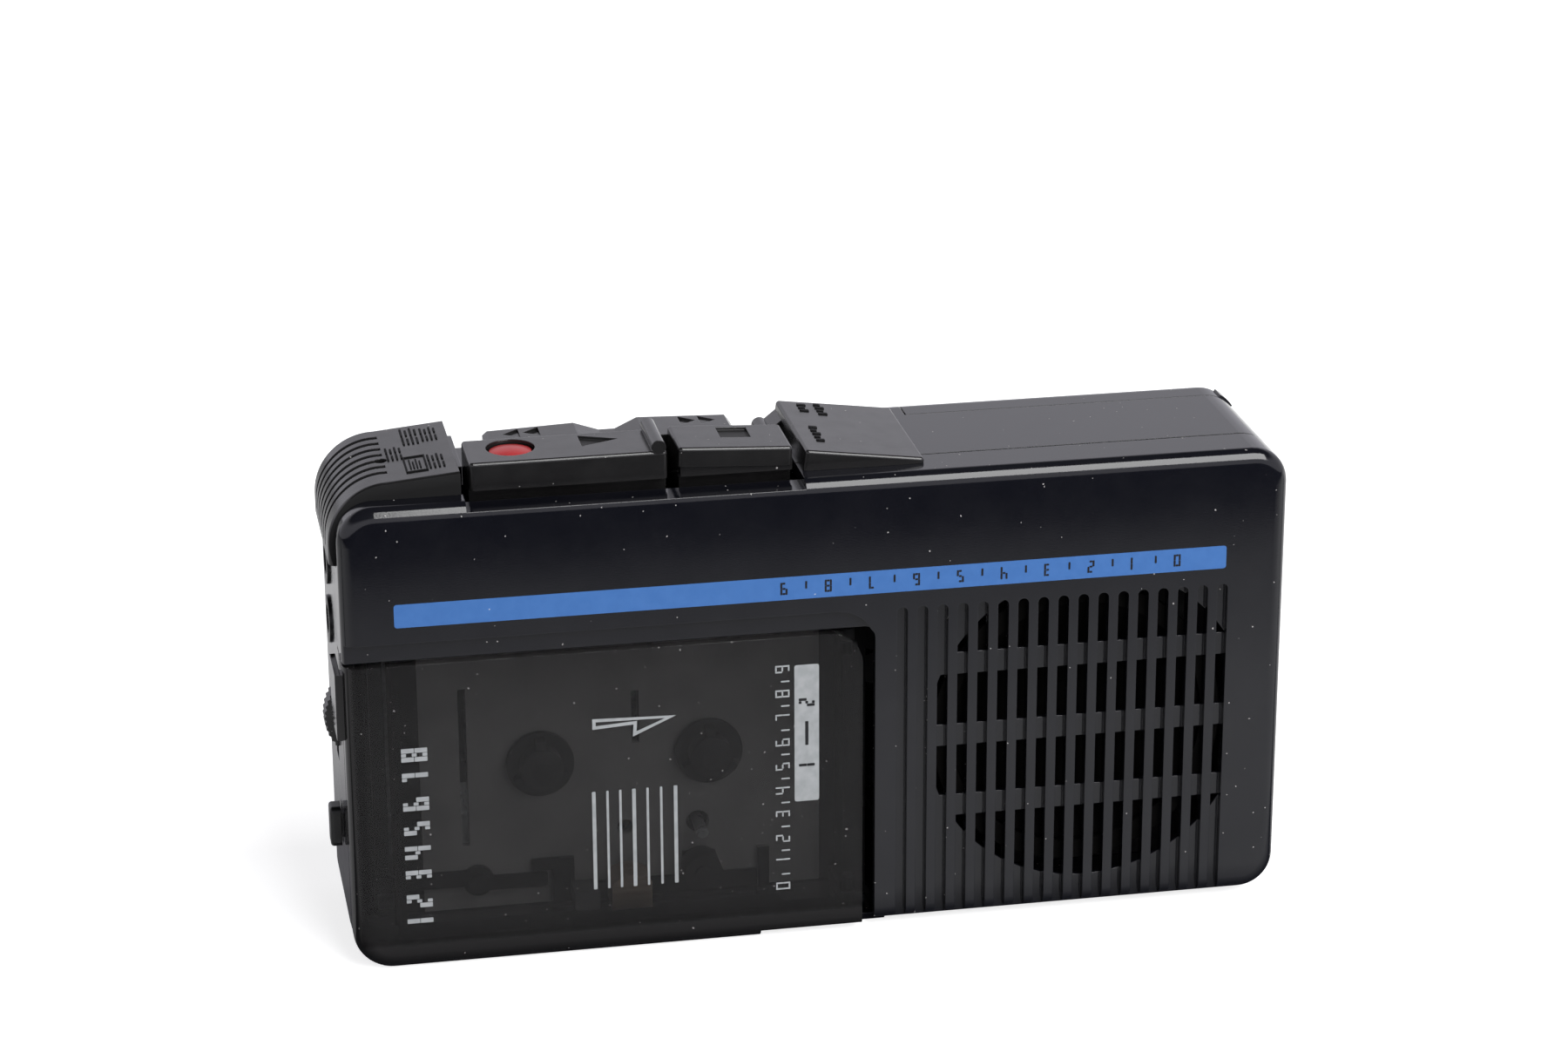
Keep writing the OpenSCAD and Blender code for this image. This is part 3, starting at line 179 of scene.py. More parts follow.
# Floor, brighter where the camera sees it and where gloss shows it behind the object
FLOOR_HALF = 2500.0
FLOOR_Z = -0.02
FLOOR_LIFT = 0.75
FLOOR_BACK_X = (-60.0, -35.0)
FLOOR_BACK_Y = (0.0, 60.0)
FLOOR_BACK_LIFT = 0.6
# Dark cards that only gloss shows: the room beyond the table's edge, and a painted shadow at the object's
# foot
CARD_HALF = 1500.0
CARD_Z = 0.05
TABLE_EDGE_Y = -150.0
TABLE_FADE_Y = -75.0
TABLE_SHADE = 0.6
FOOT_SHADE_Y = -24.0
FOOT_SHADE_UNDER = 6.0
FOOT_SHADE = 0.95
# Light, in metres and watts: a softbox above, and a weaker light farther in front
SOFTBOX_AT = (0.44, -0.53, 0.85)
SOFTBOX_AIM = (0.44, 0.0, 0.03)
SOFTBOX_SIZE = (0.85, 0.85)
SOFTBOX_POWER = 18.0
FRONT_AT = (0.76, -1.229, 0.483)
FRONT_AIM = (0.76, 0.0, 0.06)
FRONT_SIZE = (1.4, 0.9)
FRONT_POWER = 14.0
# Backdrop, which fades between two angles above the horizon to a dark ceiling
BACKDROP = (0.80, 0.79, 0.86)
BACKDROP_TOP = (27.0, 40.0)
CEILING = 0.05


class Shader:
    """Shader nodes of a material or of the world, built one by one; scales are per metre."""

    def __init__(self, owner, coords="Object"):
        self.owner = owner
        owner.use_nodes = True
        self.tree = owner.node_tree
        self.tree.nodes.clear()
        self.coords = self.add("ShaderNodeTexCoord").outputs[coords]

    def add(self, kind, inputs=None, **settings):
        node = self.tree.nodes.new(kind)
        for key, value in settings.items():
            setattr(node, key, value)
        for key, value in (inputs or {}).items():
            if isinstance(value, bpy.types.NodeSocket):
                self.tree.links.new(value, node.inputs[key])
            else:
                node.inputs[key].default_value = value
        return node

    def place(self):
        """Places along x, y and z."""
        axes = self.add("ShaderNodeSeparateXYZ", {0: self.coords})
        return axes.outputs["X"], axes.outputs["Y"], axes.outputs["Z"]

    def math(self, operation, a, b):
        return self.add("ShaderNodeMath", {0: a, 1: b}, operation=operation).outputs[0]

    def mix(self, factor, a, b):
        """Mix of two colours, by the sockets that the node uses for colours."""
        return self.add("ShaderNodeMix", {0: factor, 6: a, 7: b}, data_type="RGBA").outputs[2]

    def spread(self, value, from_low, from_high, to_low, to_high):
        return self.add("ShaderNodeMapRange", {
            "Value": value, "From Min": from_low, "From Max": from_high,
            "To Min": to_low, "To Max": to_high,
        }).outputs["Result"]

    def fade(self, place, stretch, start, end):
        """Value that goes from start to end over a stretch in millimetres."""
        return self.spread(place, stretch[0] * MM, stretch[1] * MM, start, end)

    def noise(self, scale, detail, vector=None):
        return self.add("ShaderNodeTexNoise", {
            "Vector": vector or self.coords, "Scale": scale, "Detail": detail,
        }).outputs["Fac"]

    def mottle(self, scale, detail, low=0.0, high=1.0, span=WIDE_SPAN, vector=None):
        """Noise spread between a low and a high value."""
        return self.spread(self.noise(scale, detail, vector), *span, low, high)

    def specks(self, kind, share):
        """Mask of small stray specks: one in some of the cells, each of a size of its own."""
        cell, size = kind[0] * MM, kind[1]
        waver = self.add("ShaderNodeTexNoise", {"Vector": self.coords, "Scale": SPECK_WAVER / cell})
        stray = self.add("ShaderNodeVectorMath", {
            0: waver.outputs["Color"], "Scale": cell * SPECK_STRAY,
        }, operation="SCALE")
        place = self.add("ShaderNodeVectorMath", {0: self.coords, 1: stray.outputs[0]}).outputs[0]
        cells = self.add("ShaderNodeTexVoronoi", {"Vector": place, "Scale": 1 / cell})
        pick = self.add("ShaderNodeSeparateColor", {"Color": cells.outputs["Color"]}).outputs["Red"]
        radius = self.spread(pick, 1 - share, 1.0, size * SPECK_LEAST, size)
        near = self.math("LESS_THAN", cells.outputs["Distance"], radius)
        return self.math("MULTIPLY", near, self.math("GREATER_THAN", pick, 1 - share))

    def normal(self, grain_scale, grain_depth, edge=0.0):
        """Fine grain, over softly rounded edges where a radius in millimetres is given."""
        inputs = {"Height": self.noise(grain_scale, 3.0), "Strength": 1.0, "Distance": grain_depth}
        if edge:
            inputs["Normal"] = self.add("ShaderNodeBevel", {"Radius": edge * MM}, samples=6).outputs[0]
        return self.add("ShaderNodeBump", inputs).outputs[0]

    def finish(self, shader, output="ShaderNodeOutputMaterial"):
        self.add(output, {"Surface": shader})
        return self.owner


def rgba(r, g, b):
    return (r, g, b, 1.0)


def moulded(name, dark, light, rough, specular, grain=(5000, 4e-6), dust=0.4, shade=None):
    """Moulded plastic: mottled colour, uneven gloss, grain, eased edges and stray dust, with painted shade
    where a mask is given.
    """
    s = Shader(bpy.data.materials.new(name))
    colour = s.mix(s.mottle(140, 4.0, span=NARROW_SPAN), rgba(*dark), rgba(*light))
    gloss = s.mottle(420, 3.0, *rough)
    # Painted shade: where a mask is given, those places turn near black and matt
    if shade:
        painted_shade = shade(s)
        colour = s.mix(painted_shade, colour, rgba(*PAINTED_SHADE_BLACK))
        gloss = s.math("MAXIMUM", gloss, painted_shade)
    if dust:
        dirt = s.math("MAXIMUM", s.specks(DUST, dust), s.specks(LINT, dust * LINT_SHARE))
        colour = s.mix(s.math("MULTIPLY", dirt, 0.7), colour, rgba(*DUST_GREY))
        gloss = s.math("MAXIMUM", gloss, s.math("MULTIPLY", dirt, 0.9))
    shader = s.add("ShaderNodeBsdfPrincipled", {
        "Base Color": colour, "Roughness": gloss, "Specular IOR Level": specular,
        "Normal": s.normal(*grain, PLASTIC_EDGE),
    })
    return s.finish(shader.outputs[0])


def metal(name, dark, light, rough):
    """Worked metal with fine streaks along the length and dulled patches."""
    s = Shader(bpy.data.materials.new(name))
    squeezed = s.add("ShaderNodeMapping", {"Vector": s.coords, "Scale": (40, 1400, 1400)}).outputs[0]
    streak = s.mottle(1.0, 2.0, vector=squeezed)
    shader = s.add("ShaderNodeBsdfPrincipled", {
        "Base Color": s.mix(streak, rgba(*dark), rgba(*light)), "Metallic": 1.0,
        "Roughness": s.mottle(300, 4.0, *rough),
        "Normal": s.normal(2600, 3e-6, METAL_EDGE),
    })
    return s.finish(shader.outputs[0])


def smoked(name, tint, dust, veil):
    """Smoked clear plastic: tinted and glossy, with scuffs and dust, and no light through its rims."""
    s = Shader(bpy.data.materials.new(name))
    dirt = s.math("MAXIMUM", s.specks(DOOR_DUST, 0.35), s.specks(SCUFFS, 0.10))
    x, _, z = s.place()
    rim = s.math("MAXIMUM", s.fade(z, DOOR_RIM_Z, 1.0, 0.0), s.fade(x, DOOR_RIM_X, 1.0, 0.0))
    cover = s.math("MAXIMUM", s.mottle(60, 3.0, *veil), rim)
    shader = s.add("ShaderNodeBsdfPrincipled", {
        "Base Color": s.mix(s.math("MULTIPLY", dirt, 0.5), rgba(*tint), rgba(*dust)),
        "Specular IOR Level": 0.37, "Roughness": s.mottle(300, 3.0, 0.06, 0.10),
        "Alpha": s.math("MAXIMUM", cover, dirt),
        "Normal": s.normal(900, 1e-6, PLASTIC_EDGE),
    })
    return s.finish(shader.outputs[0])


def ink(name, dark, light, rough):
    """Screen printed ink with a faint mottle and a little dust."""
    s = Shader(bpy.data.materials.new(name))
    colour = s.mix(s.mottle(900, 4.0, span=NARROW_SPAN), rgba(*dark), rgba(*light))
    dirt = s.specks(INK_DUST, 0.05)
    shader = s.add("ShaderNodeBsdfPrincipled", {
        "Base Color": s.mix(s.math("MULTIPLY", dirt, 0.5), colour, rgba(0.5, 0.5, 0.5)),
        "Specular IOR Level": 0.35, "Roughness": s.mottle(500, 3.0, *rough),
        "Normal": s.normal(3000, 2e-6),
    })
    return s.finish(shader.outputs[0])


def slot_shade(s):
    """Mask of painted shade in the slots of the microphone cap, on what lies deeper than its outer skin."""
    x, y, z = s.place()
    across = s.math("SUBTRACT", x, CAP_AXIS[0] * MM)
    up = s.math("SUBTRACT", z, CAP_AXIS[1] * MM)
    inside = (CAP_RADIUS - CAP_SKIN) * MM
    square = s.math("ADD", s.math("MULTIPLY", across, across), s.math("MULTIPLY", up, up))
    round_part = s.math("LESS_THAN", s.math("SQRT", square, 0.0), inside)
    top = s.math("ADD", s.math("MULTIPLY", across, CAP_TOP[2]), inside)
    flat_part = s.math("MULTIPLY", s.math("LESS_THAN", up, top), s.math("GREATER_THAN", across, 0.0))
    under = s.math("MAXIMUM", round_part, flat_part)
    stray = s.math("PINGPONG", s.math("SUBTRACT", y, SLOT_Y * MM), SLOT_PITCH / 2 * MM)
    return s.math("MULTIPLY", under, s.math("LESS_THAN", stray, SLOT_HALF * MM))


def mark_shade(height, slope=0.0, start=0.0):
    """Mask of painted shade on the floors of let-in marks, which lie in one plane under a key's top."""
    def mask(s):
        x, _, z = s.place()
        fall = s.math("MULTIPLY", s.math("SUBTRACT", x, start * MM), slope)
        off = s.math("SUBTRACT", s.math("SUBTRACT", z, height * MM), fall)
        near = s.math("LESS_THAN", s.math("ABSOLUTE", off, 0.0), MARK_FLOOR_T * MM)
        return s.math("MULTIPLY", near, MARK_SHADE)
    return mask


def rim_shade(s):
    """Mask of painted shade on the tray outside the flat floor that shows through the door."""
    x, y, _ = s.place()
    outside = s.math("GREATER_THAN", x, DECK_X[1] * MM)
    outside = s.math("MAXIMUM", outside, s.math("LESS_THAN", x, DECK_X[0] * MM))
    return s.math("MAXIMUM", outside, s.math("LESS_THAN", y, DECK_Y * MM))


# One matte plastic: plain, and with painted shade on the floors of the marks in the play key and the stop
# key
KEY_LOOK = ((0.0066, 0.0064, 0.0065), (0.0092, 0.0090, 0.0090), (0.17, 0.25), 0.56, (3500, 5e-6))
keys = moulded("key_plastic", *KEY_LOOK)
play_look = moulded("play_plastic", *KEY_LOOK, shade=mark_shade(PLAY_MARK_Z))
stop_look = moulded("stop_plastic", *KEY_LOOK, shade=mark_shade(*STOP_MARK))

shell = moulded("case_plastic", (0.0032, 0.0034, 0.0052), (0.0046, 0.0048, 0.0066), (0.08, 0.12), 0.5)
# The cap's slots get painted shade
cap = moulded("cap_plastic", (0.0058, 0.0056, 0.0057), (0.0082, 0.0080, 0.0080), (0.19, 0.27), 0.5,
              (3500, 6e-6), shade=slot_shade)
knob = moulded("knob_plastic", (0.006, 0.006, 0.0065), (0.009, 0.009, 0.009), (0.25, 0.35), 0.45)
# The tray gets painted shade outside the floor that shows through the door
inner = moulded("deck_plastic", (0.24, 0.232, 0.232), (0.30, 0.292, 0.290), (0.45, 0.6), 0.3,
                shade=rim_shade)
hub = moulded("hub_plastic", (0.018, 0.018, 0.019), (0.03, 0.03, 0.03), (0.4, 0.55), 0.35)
red = moulded("record_plastic", (0.27, 0.012, 0.014), (0.34, 0.019, 0.020), (0.28, 0.38), 0.4, dust=0.2)
nylon = moulded("gear_nylon", (0.58, 0.56, 0.50), (0.70, 0.68, 0.62), (0.45, 0.6), 0.35, dust=0)
board_green = moulded("board_lacquer", (0.02, 0.10, 0.04), (0.04, 0.16, 0.07), (0.25, 0.4), 0.5, dust=0)
parts_black = moulded("component_case", (0.008, 0.008, 0.009), (0.014, 0.014, 0.014), (0.4, 0.55), 0.4,
                      dust=0)
rubber = moulded("drive_rubber", (0.010, 0.010, 0.010), (0.022, 0.022, 0.022), (0.7, 0.85), 0.25, dust=0)
# Black cone paper, darkened further to paint in the shade behind the grille; the speaker frame wears it too
paper = moulded("cone_paper_painted_shade", (0.0020, 0.0019, 0.0018), (0.0034, 0.0032, 0.0030), (0.8, 0.95), 0.05,
                (2500, 3e-5), dust=0)
ferrite = moulded("ferrite", (0.05, 0.05, 0.052), (0.085, 0.085, 0.088), (0.5, 0.7), 0.4, dust=0)
mark_black = moulded("mark_black", (0.0014, 0.0014, 0.0016), (0.0024, 0.0024, 0.0026), (0.5, 0.65), 0.12,
                     dust=0)
steel = metal("bright_steel", (0.50, 0.51, 0.52), (0.66, 0.67, 0.68), (0.22, 0.40))
dark_steel = metal("blackened_steel", (0.030, 0.030, 0.031), (0.055, 0.055, 0.056), (0.35, 0.5))
brass = metal("turned_brass", (0.52, 0.38, 0.16), (0.68, 0.52, 0.25), (0.22, 0.38))
head_metal = metal("head_shield", (0.58, 0.44, 0.34), (0.72, 0.57, 0.46), (0.35, 0.5))
smoke = smoked("door_smoke", (0.006, 0.0058, 0.006), (0.26, 0.25, 0.25), (0.50, 0.56))
blue_ink = ink("stripe_ink", (0.030, 0.098, 0.270), (0.034, 0.106, 0.286), (0.30, 0.4))
grey_ink = ink("door_ink", (0.20, 0.21, 0.215), (0.24, 0.25, 0.255), (0.40, 0.5))
dark_ink = ink("plate_ink", (0.004, 0.004, 0.005), (0.007, 0.007, 0.008), (0.40, 0.5))

# Looks by the record's material slots, and by node where a piece departs from its slot
SLOT_LOOKS = {
    "shell": shell, "matte": keys, "smoke": smoke, "red": red, "steel": steel, "nylon": nylon,
    "brass": brass, "rubber": rubber, "board": board_green, "black_parts": knob, "paper": paper,
    "ferrite": ferrite, "head_metal": head_metal,
}
NODE_LOOKS = {
    "bay_tray": inner, "mic_cap": cap, "play_key": play_look, "stop_key": stop_look,
    "supply_spindle": hub, "takeup_spindle": hub, "speaker_frame": paper,
    "battery_box": parts_black, "board_components": parts_black, "key_guide": parts_black,
    "speed_switch": parts_black, "capstan_bearing": dark_steel, "spindle_bushes": dark_steel,
    "head_bridge": dark_steel, "play_rocker": dark_steel, "play_pushrod": dark_steel,
    "hinge_pins": dark_steel, "pinch_pin": dark_steel, "rocker_pin": dark_steel,
}

for subpart in frame["record"]["subparts"]:
    node = subpart["node"]
    looks = nodes[node].data.materials
    looks.clear()
    looks.append(NODE_LOOKS.get(node, SLOT_LOOKS[subpart["material_slot"]]))


def linked(name, data):
    """Adds an object with its data to the scene."""
    thing = bpy.data.objects.new(name, data)
    bpy.context.scene.collection.objects.link(thing)
    return thing


def piece(name, mesh, material, body):
    """Adds a mesh made in millimetres of the row frame as a piece of the object."""
    mesh.transform(Matrix.Scale(MM, 4))
    mesh.materials.append(material)
    thing = linked(name, mesh)
    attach(thing, body)


def mesh_from(name, shape):
    """Mesh made from an edited shape, which is given up."""
    mesh = bpy.data.meshes.new(name)
    shape.to_mesh(mesh)
    shape.free()
    return mesh


def printed(name, outlines, y, material, body):
    """Adds flat plates of ink on the face; each outline is a list of (x, z) points and a hole or None."""
    shape = bmesh.new()
    for outer, hole in outlines:
        front = [shape.verts.new((x, y - PRINT_T, z)) for x, z in outer]
        back = [shape.verts.new((x, y, z)) for x, z in outer]
        count = len(outer)
        if hole:
            front_in = [shape.verts.new((x, y - PRINT_T, z)) for x, z in hole]
            back_in = [shape.verts.new((x, y, z)) for x, z in hole]
            for k in range(count):
                n = (k + 1) % count
                shape.faces.new((front[k], front[n], front_in[n], front_in[k]))
                shape.faces.new((back[n], back[k], back_in[k], back_in[n]))
                shape.faces.new((front_in[k], front_in[n], back_in[n], back_in[k]))
        else:
            shape.faces.new(front)
            shape.faces.new(back[::-1])
        for k in range(count):
            n = (k + 1) % count
            shape.faces.new((front[n], front[k], back[k], back[n]))
    bmesh.ops.recalc_face_normals(shape, faces=shape.faces)
    piece(name, mesh_from(name, shape), material, body)


def rounded(x, z, radius, steps=6):
    """Rectangle between two x and two z values with round corners."""
    corners = ((x[1], z[1], 0), (x[0], z[1], 90), (x[0], z[0], 180), (x[1], z[0], 270))
    points = []
    for cx, cz, start in corners:
        cx += -radius if cx == x[1] else radius
        cz += -radius if cz == z[1] else radius
        for k in range(steps + 1):
            turn = math.radians(start + 90 * k / steps)
            points.append((cx + radius * math.cos(turn), cz + radius * math.sin(turn)))
    return points


def shrunk(points, inset):
    """Outline moved inwards by an inset, corner by corner."""
    area = sum(a[0] * b[1] - b[0] * a[1] for a, b in zip(points, points[1:] + points[:1]))
    side = 1 if area > 0 else -1
    result = []
    for k, point in enumerate(points):
        before = Vector(points[k - 1])
        here = Vector(point)
        after = Vector(points[(k + 1) % len(points)])
        a = (here - before).normalized()
        b = (after - here).normalized()
        na = Vector((-a.y, a.x)) * side
        nb = Vector((-b.y, b.x)) * side
        middle = (na + nb).normalized()
        result.append(tuple(here + middle * (inset / max(middle.dot(na), MITRE_LEAST))))
    return result


def bar(x, z):
    """Outline of a small bar without a hole."""
    return (rounded(x, z, BAR_ROUND, 2), None)


def stripe():
    """Blue stripe along the face."""
    outline = rounded(STRIPE_X, STRIPE_Z, STRIPE_ROUND)
    printed("stripe", [(outline, None)], PRINT_Y, blue_ink, "case")


def door_print():
    """Open arrow and upright lines on the door."""
    arrow = list(ARROW)
    outlines = [(arrow, shrunk(arrow, ARROW_STROKE))]
    for k, x in enumerate(LINES_X):
        half = LINE_HALVES[k % len(LINE_HALVES)]
        outlines.append(bar((x - half, x + half), LINES_Z))
    printed("door_print", outlines, PRINT_Y, grey_ink, "door")


def door_plate():
    """Pale plate printed on the door."""
    outline = rounded(PLATE_X, PLATE_Z, PLATE_ROUND)
    printed("door_plate", [(outline, None)], PRINT_Y, grey_ink, "door")


def up_door(along, up):
    """Direction of print that reads up the door."""
    return (-up, along)


def upside_down(along, up):
    """Direction of print that stands on its head."""
    return (-along, -up)


def bar_between(at, ends):
    """Bar between two opposite corners, both given from a place."""
    x, z = (sorted(at[axis] + end[axis] for end in ends) for axis in (0, 1))
    return bar(x, z)


def numeral(digit, at, height, stroke, way):
    """Plain numeral made of straight bars, its lower left corner at a place; way turns it (x, z)."""
    width = height * NUMERAL_WIDTH
    half = height / 2
    gap = stroke * BAR_GAP
    level = (stroke + gap, width - stroke - gap)
    high = (half + gap / 2, height)
    low = (0, half - gap / 2)
    spans = {
        "a": (level, (height - stroke, height)), "d": (level, (0, stroke)),
        "g": (level, (half - stroke / 2, half + stroke / 2)),
        "f": ((0, stroke), high), "e": ((0, stroke), low),
        "b": ((width - stroke, width), high), "c": ((width - stroke, width), low),
    }
    return [bar_between(at, [way(along, up) for along, up in zip(*spans[name])])
            for name in NUMERAL_BARS[digit]]


def scale(at, length, height, stroke, way, digits, ticks=True):
    """Numerals at even steps, with a short tick between each two if ticks are wanted."""
    outlines = []
    pitch = (length - height * NUMERAL_WIDTH) / (len(digits) - 1)
    for k, digit in enumerate(digits):
        start = way(k * pitch, 0)
        outlines += numeral(digit, (at[0] + start[0], at[1] + start[1]), height, stroke, way)
        if ticks and k < len(digits) - 1:
            middle = (k + 0.5) * pitch + height * TICK_SHIFT
            ends = (way(middle - stroke / 2, 0), way(middle + stroke / 2, height * TICK_HEIGHT))
            outlines.append(bar_between(at, ends))
    return outlines


def door_scale():
    """Plain numbered scale read up the door, and bold numerals near the pull tab."""
    outlines = []
    for x, z, stroke, digits, ticks in ((SCALE_X, SCALE_Z, SCALE_STROKE, range(10), True),
                                        (BOLD_X, BOLD_Z, BOLD_STROKE, range(1, 9), False)):
        outlines += scale((x[1], z[0]), z[1] - z[0], x[1] - x[0], stroke, up_door, digits, ticks)
    printed("door_scale", outlines, PRINT_Y, grey_ink, "door")


def stripe_scale():
    """Plain numbered scale on the stripe, upside down as the print there is."""
    x, z = STRIPE_SCALE_X, STRIPE_SCALE_Z
    outlines = scale((x[1], z[1]), x[1] - x[0], z[1] - z[0], STRIPE_SCALE_STROKE, upside_down, range(10))
    printed("stripe_scale", outlines, OVERPRINT_Y, dark_ink, "case")


def plate_numbers():
    """Two plain numerals and a dash on the plate."""
    x = PLATE_X[1] - PLATE_INSET
    middle = (PLATE_Z[0] + PLATE_Z[1]) / 2
    outlines = []
    for digit, place in PLATE_DIGITS:
        outlines += numeral(digit, (x, middle + place), *PLATE_DIGIT_SIZE, up_door)
    outlines.append(bar_between((x, middle), list(zip(*PLATE_DASH))))
    printed("plate_numbers", outlines, OVERPRINT_Y, dark_ink, "door")


def raised(name, boxes, top, material, body):
    """Adds small raised bars (x, y, two of each) lying on a sloping top."""
    start, height, slope = top
    shape = bmesh.new()
    for x0, x1, y0, y1 in boxes:
        corners = [(x, y, height + slope * (x - start))
                   for x, y in ((x0, y0), (x1, y0), (x1, y1), (x0, y1))]
        low = [shape.verts.new((x, y, z - MARK_SINK)) for x, y, z in corners]
        high = [shape.verts.new((x, y, z + MARK_LIFT)) for x, y, z in corners]
        shape.faces.new(low[::-1])
        shape.faces.new(high)
        for k in range(4):
            n = (k + 1) % 4
            shape.faces.new((low[k], low[n], high[n], high[k]))
    piece(name, mesh_from(name, shape), material, body)


def strokes(x, y, count):
    """A row of upright strokes filling a box."""
    pitch = (x[1] - x[0]) / count
    short = (y[1] - y[0]) * STROKE_SHORT_SHARE
    return [(x[0] + k * pitch, x[0] + (k + STROKE_SHARE) * pitch, y[0], y[1] - (short if k % 2 else 0.0))
            for k in range(count)]


def cap_marks():
    """Rows of strokes and a small frame on the microphone cap."""
    boxes = []
    for x, y in CAP_WORDS:
        middle = (y[0] + y[1]) / 2
        boxes += strokes(x, (y[0], middle - CAP_WORD_HALF_GAP), CAP_STROKES)
        boxes += strokes(x, (middle + CAP_WORD_HALF_GAP, y[1]), CAP_STROKES)
    (x0, x1), (y0, y1) = CAP_FRAME
    edge = CAP_FRAME_EDGE
    boxes += [(x0, x1, y0, y0 + edge), (x0, x1, y1 - edge, y1), (x0, x0 + edge, y0 + edge, y1 - edge),
              (x1 - edge, x1, y0 + edge, y1 - edge)]
    boxes += strokes(*CAP_FRAME_FILL, CAP_STROKES)
    raised("cap_marks", boxes, CAP_TOP, mark_black, "case")


def rest_marks():
    """Rows of bars on the thumb rest."""
    boxes = []
    for x, y, count in REST_WORDS:
        pitch = (y[1] - y[0]) / count
        for k in range(count):
            end = x[1] - (REST_BAR_SHORT if k % 2 else 0.0)
            boxes.append((x[0], end, y[0] + k * pitch, y[0] + (k + REST_BAR_SHARE) * pitch))
    raised("rest_marks", boxes, REST_TOP, mark_black, "case")


def return_spring(node):
    """Coil of a key's return spring, of the node's own form, held by the case in place of the node."""
    coil = linked(node + "_coil", nodes[node].data.copy())
    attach(coil, "case")
    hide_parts(node)
    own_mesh(coil)


stripe()
door_print()
door_plate()
door_scale()
stripe_scale()
plate_numbers()
cap_marks()
rest_marks()
return_spring("play_spring")
return_spring("stop_spring")


# Stage: pale floor, white surroundings and soft light
def plane(name, x, y, z, material):
    """Flat stage piece between two x and two y values, in millimetres."""
    mesh = bpy.data.meshes.new(name)
    corners = [(x[0], y[0], z), (x[1], y[0], z), (x[1], y[1], z), (x[0], y[1], z)]
    mesh.from_pydata([tuple(c * MM for c in p) for p in corners], [], [(0, 1, 2, 3)])
    mesh.materials.append(material)
    thing = linked(name, mesh)
    return thing


def floor():
    """Pale floor, lifted to white for the camera and lifted for gloss behind the object."""
    s = Shader(bpy.data.materials.new("floor_paint"))
    paint = s.add("ShaderNodeBsdfPrincipled", {
        "Base Color": s.mix(s.mottle(3, 2.0), rgba(0.54, 0.54, 0.54), rgba(0.56, 0.56, 0.56)),
        "Roughness": 0.9, "Specular IOR Level": 0.1,
    })
    path = s.add("ShaderNodeLightPath")
    seen = s.math("MULTIPLY", path.outputs["Is Camera Ray"], FLOOR_LIFT)
    x, y, _ = s.place()
    behind = s.fade(y, FLOOR_BACK_Y, 0.0, FLOOR_BACK_LIFT)
    behind = s.math("MULTIPLY", behind, s.fade(x, FLOOR_BACK_X, 0.0, 1.0))
    lift = s.math("ADD", seen, s.math("MULTIPLY", path.outputs["Is Glossy Ray"], behind))
    glow = s.add("ShaderNodeEmission", {"Color": rgba(1, 1, 1), "Strength": lift})
    both = s.add("ShaderNodeAddShader", {0: paint.outputs[0], 1: glow.outputs[0]})
    sides = (-FLOOR_HALF, FLOOR_HALF)
    plane("floor", sides, sides, FLOOR_Z, s.finish(both.outputs[0]))


def gloss_card(name, y, cover):
    """Dark card on the table that only gloss shows; cover(shader, place along y) says how much it hides."""
    s = Shader(bpy.data.materials.new(name))
    dark = s.add("ShaderNodeBsdfPrincipled", {
        "Base Color": s.mix(s.noise(2, 2.0), rgba(0.004, 0.005, 0.008), rgba(0.008, 0.010, 0.016)),
        "Roughness": 1.0, "Specular IOR Level": 0.0,
    })
    clear = s.add("ShaderNodeBsdfTransparent")
    _, along, _ = s.place()
    both = s.add("ShaderNodeMixShader", {0: cover(s, along), 1: clear.outputs[0], 2: dark.outputs[0]})
    card = plane(name, (-CARD_HALF, CARD_HALF), y, CARD_Z, s.finish(both.outputs[0]))
    for ray in ("camera", "diffuse", "transmission", "volume_scatter", "shadow"):
        setattr(card, "visible_" + ray, False)


def dark_room(s, along):
    """All dark beyond the table, and a shade on the table that grows towards its edge."""
    shadow = s.fade(along, (TABLE_FADE_Y, TABLE_EDGE_Y), 0.0, TABLE_SHADE)
    return s.math("MAXIMUM", shadow, s.math("LESS_THAN", along, TABLE_EDGE_Y * MM))


def foot_shade(s, along):
    """Painted shadow where the object meets the table, a dark line that only gloss shows."""
    return s.fade(along, (FACE_Y, FOOT_SHADE_Y), FOOT_SHADE, 0.0)


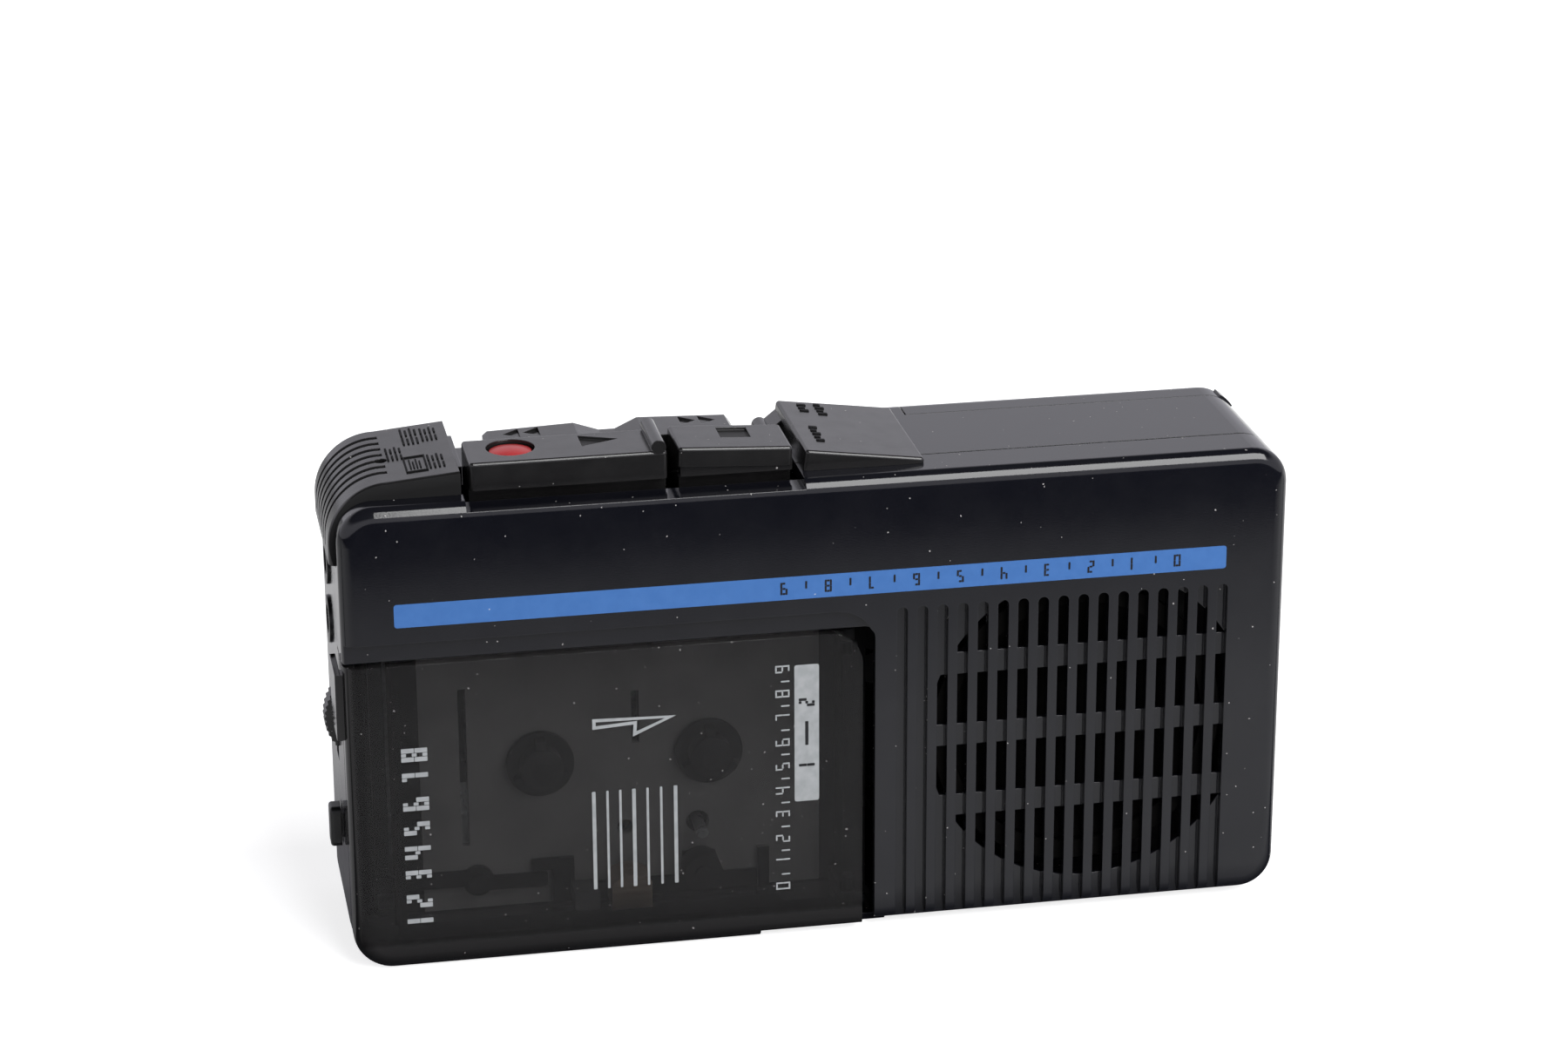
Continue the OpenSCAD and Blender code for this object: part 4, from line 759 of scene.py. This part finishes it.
def surroundings():
    """Pale backdrop near the horizon under a dark ceiling, plain white where the camera sees it."""
    s = Shader(bpy.data.worlds.new("surroundings"), "Generated")
    _, _, height = s.place()
    low, high = (math.sin(math.radians(angle)) for angle in BACKDROP_TOP)
    backdrop = s.add("ShaderNodeBackground", {
        "Color": rgba(*BACKDROP), "Strength": s.spread(height, low, high, 1.0, CEILING),
    })
    seen = s.add("ShaderNodeBackground", {"Color": rgba(1, 1, 1)})
    path = s.add("ShaderNodeLightPath")
    light = s.add("ShaderNodeMixShader", {
        0: path.outputs["Is Camera Ray"], 1: backdrop.outputs[0], 2: seen.outputs[0],
    })
    bpy.context.scene.world = s.finish(light.outputs[0], "ShaderNodeOutputWorld")


def lamp(name, at, target, size, power, mirrored=True):
    """Soft rectangular light; one that is not mirrored lights the object and never shows in its gloss."""
    data = bpy.data.lights.new(name, "AREA")
    data.shape = "RECTANGLE"
    data.size, data.size_y = size
    data.energy = power
    thing = linked(name, data)
    thing.visible_glossy = mirrored
    thing.location = Vector(at)
    thing.rotation_mode = "QUATERNION"
    thing.rotation_quaternion = (Vector(target) - Vector(at)).to_track_quat("-Z", "Y")


def camera():
    """Camera that sees the object as the photo does."""
    data = bpy.data.cameras.new("camera")
    data.lens = CAMERA_LENS
    data.sensor_width = SENSOR_W
    data.clip_start = CAMERA_NEAR * MM
    thing = linked("camera", data)
    at = Vector(CAMERA_AT) * MM
    look = (Vector(CAMERA_TARGET) * MM - at).to_track_quat("-Z", "Y").to_matrix().to_4x4()
    roll = Matrix.Rotation(math.radians(CAMERA_ROLL), 4, "Z")
    thing.matrix_world = Matrix.Translation(at) @ look @ roll
    bpy.context.scene.camera = thing


floor()
gloss_card("dark_room", (-CARD_HALF, TABLE_FADE_Y), dark_room)
gloss_card("foot_shade", (FOOT_SHADE_Y, FACE_Y + FOOT_SHADE_UNDER), foot_shade)
surroundings()
lamp("softbox", SOFTBOX_AT, SOFTBOX_AIM, SOFTBOX_SIZE, SOFTBOX_POWER)
lamp("front_light", FRONT_AT, FRONT_AIM, FRONT_SIZE, FRONT_POWER, mirrored=False)
camera()
bpy.context.scene.view_settings.view_transform = "Standard"
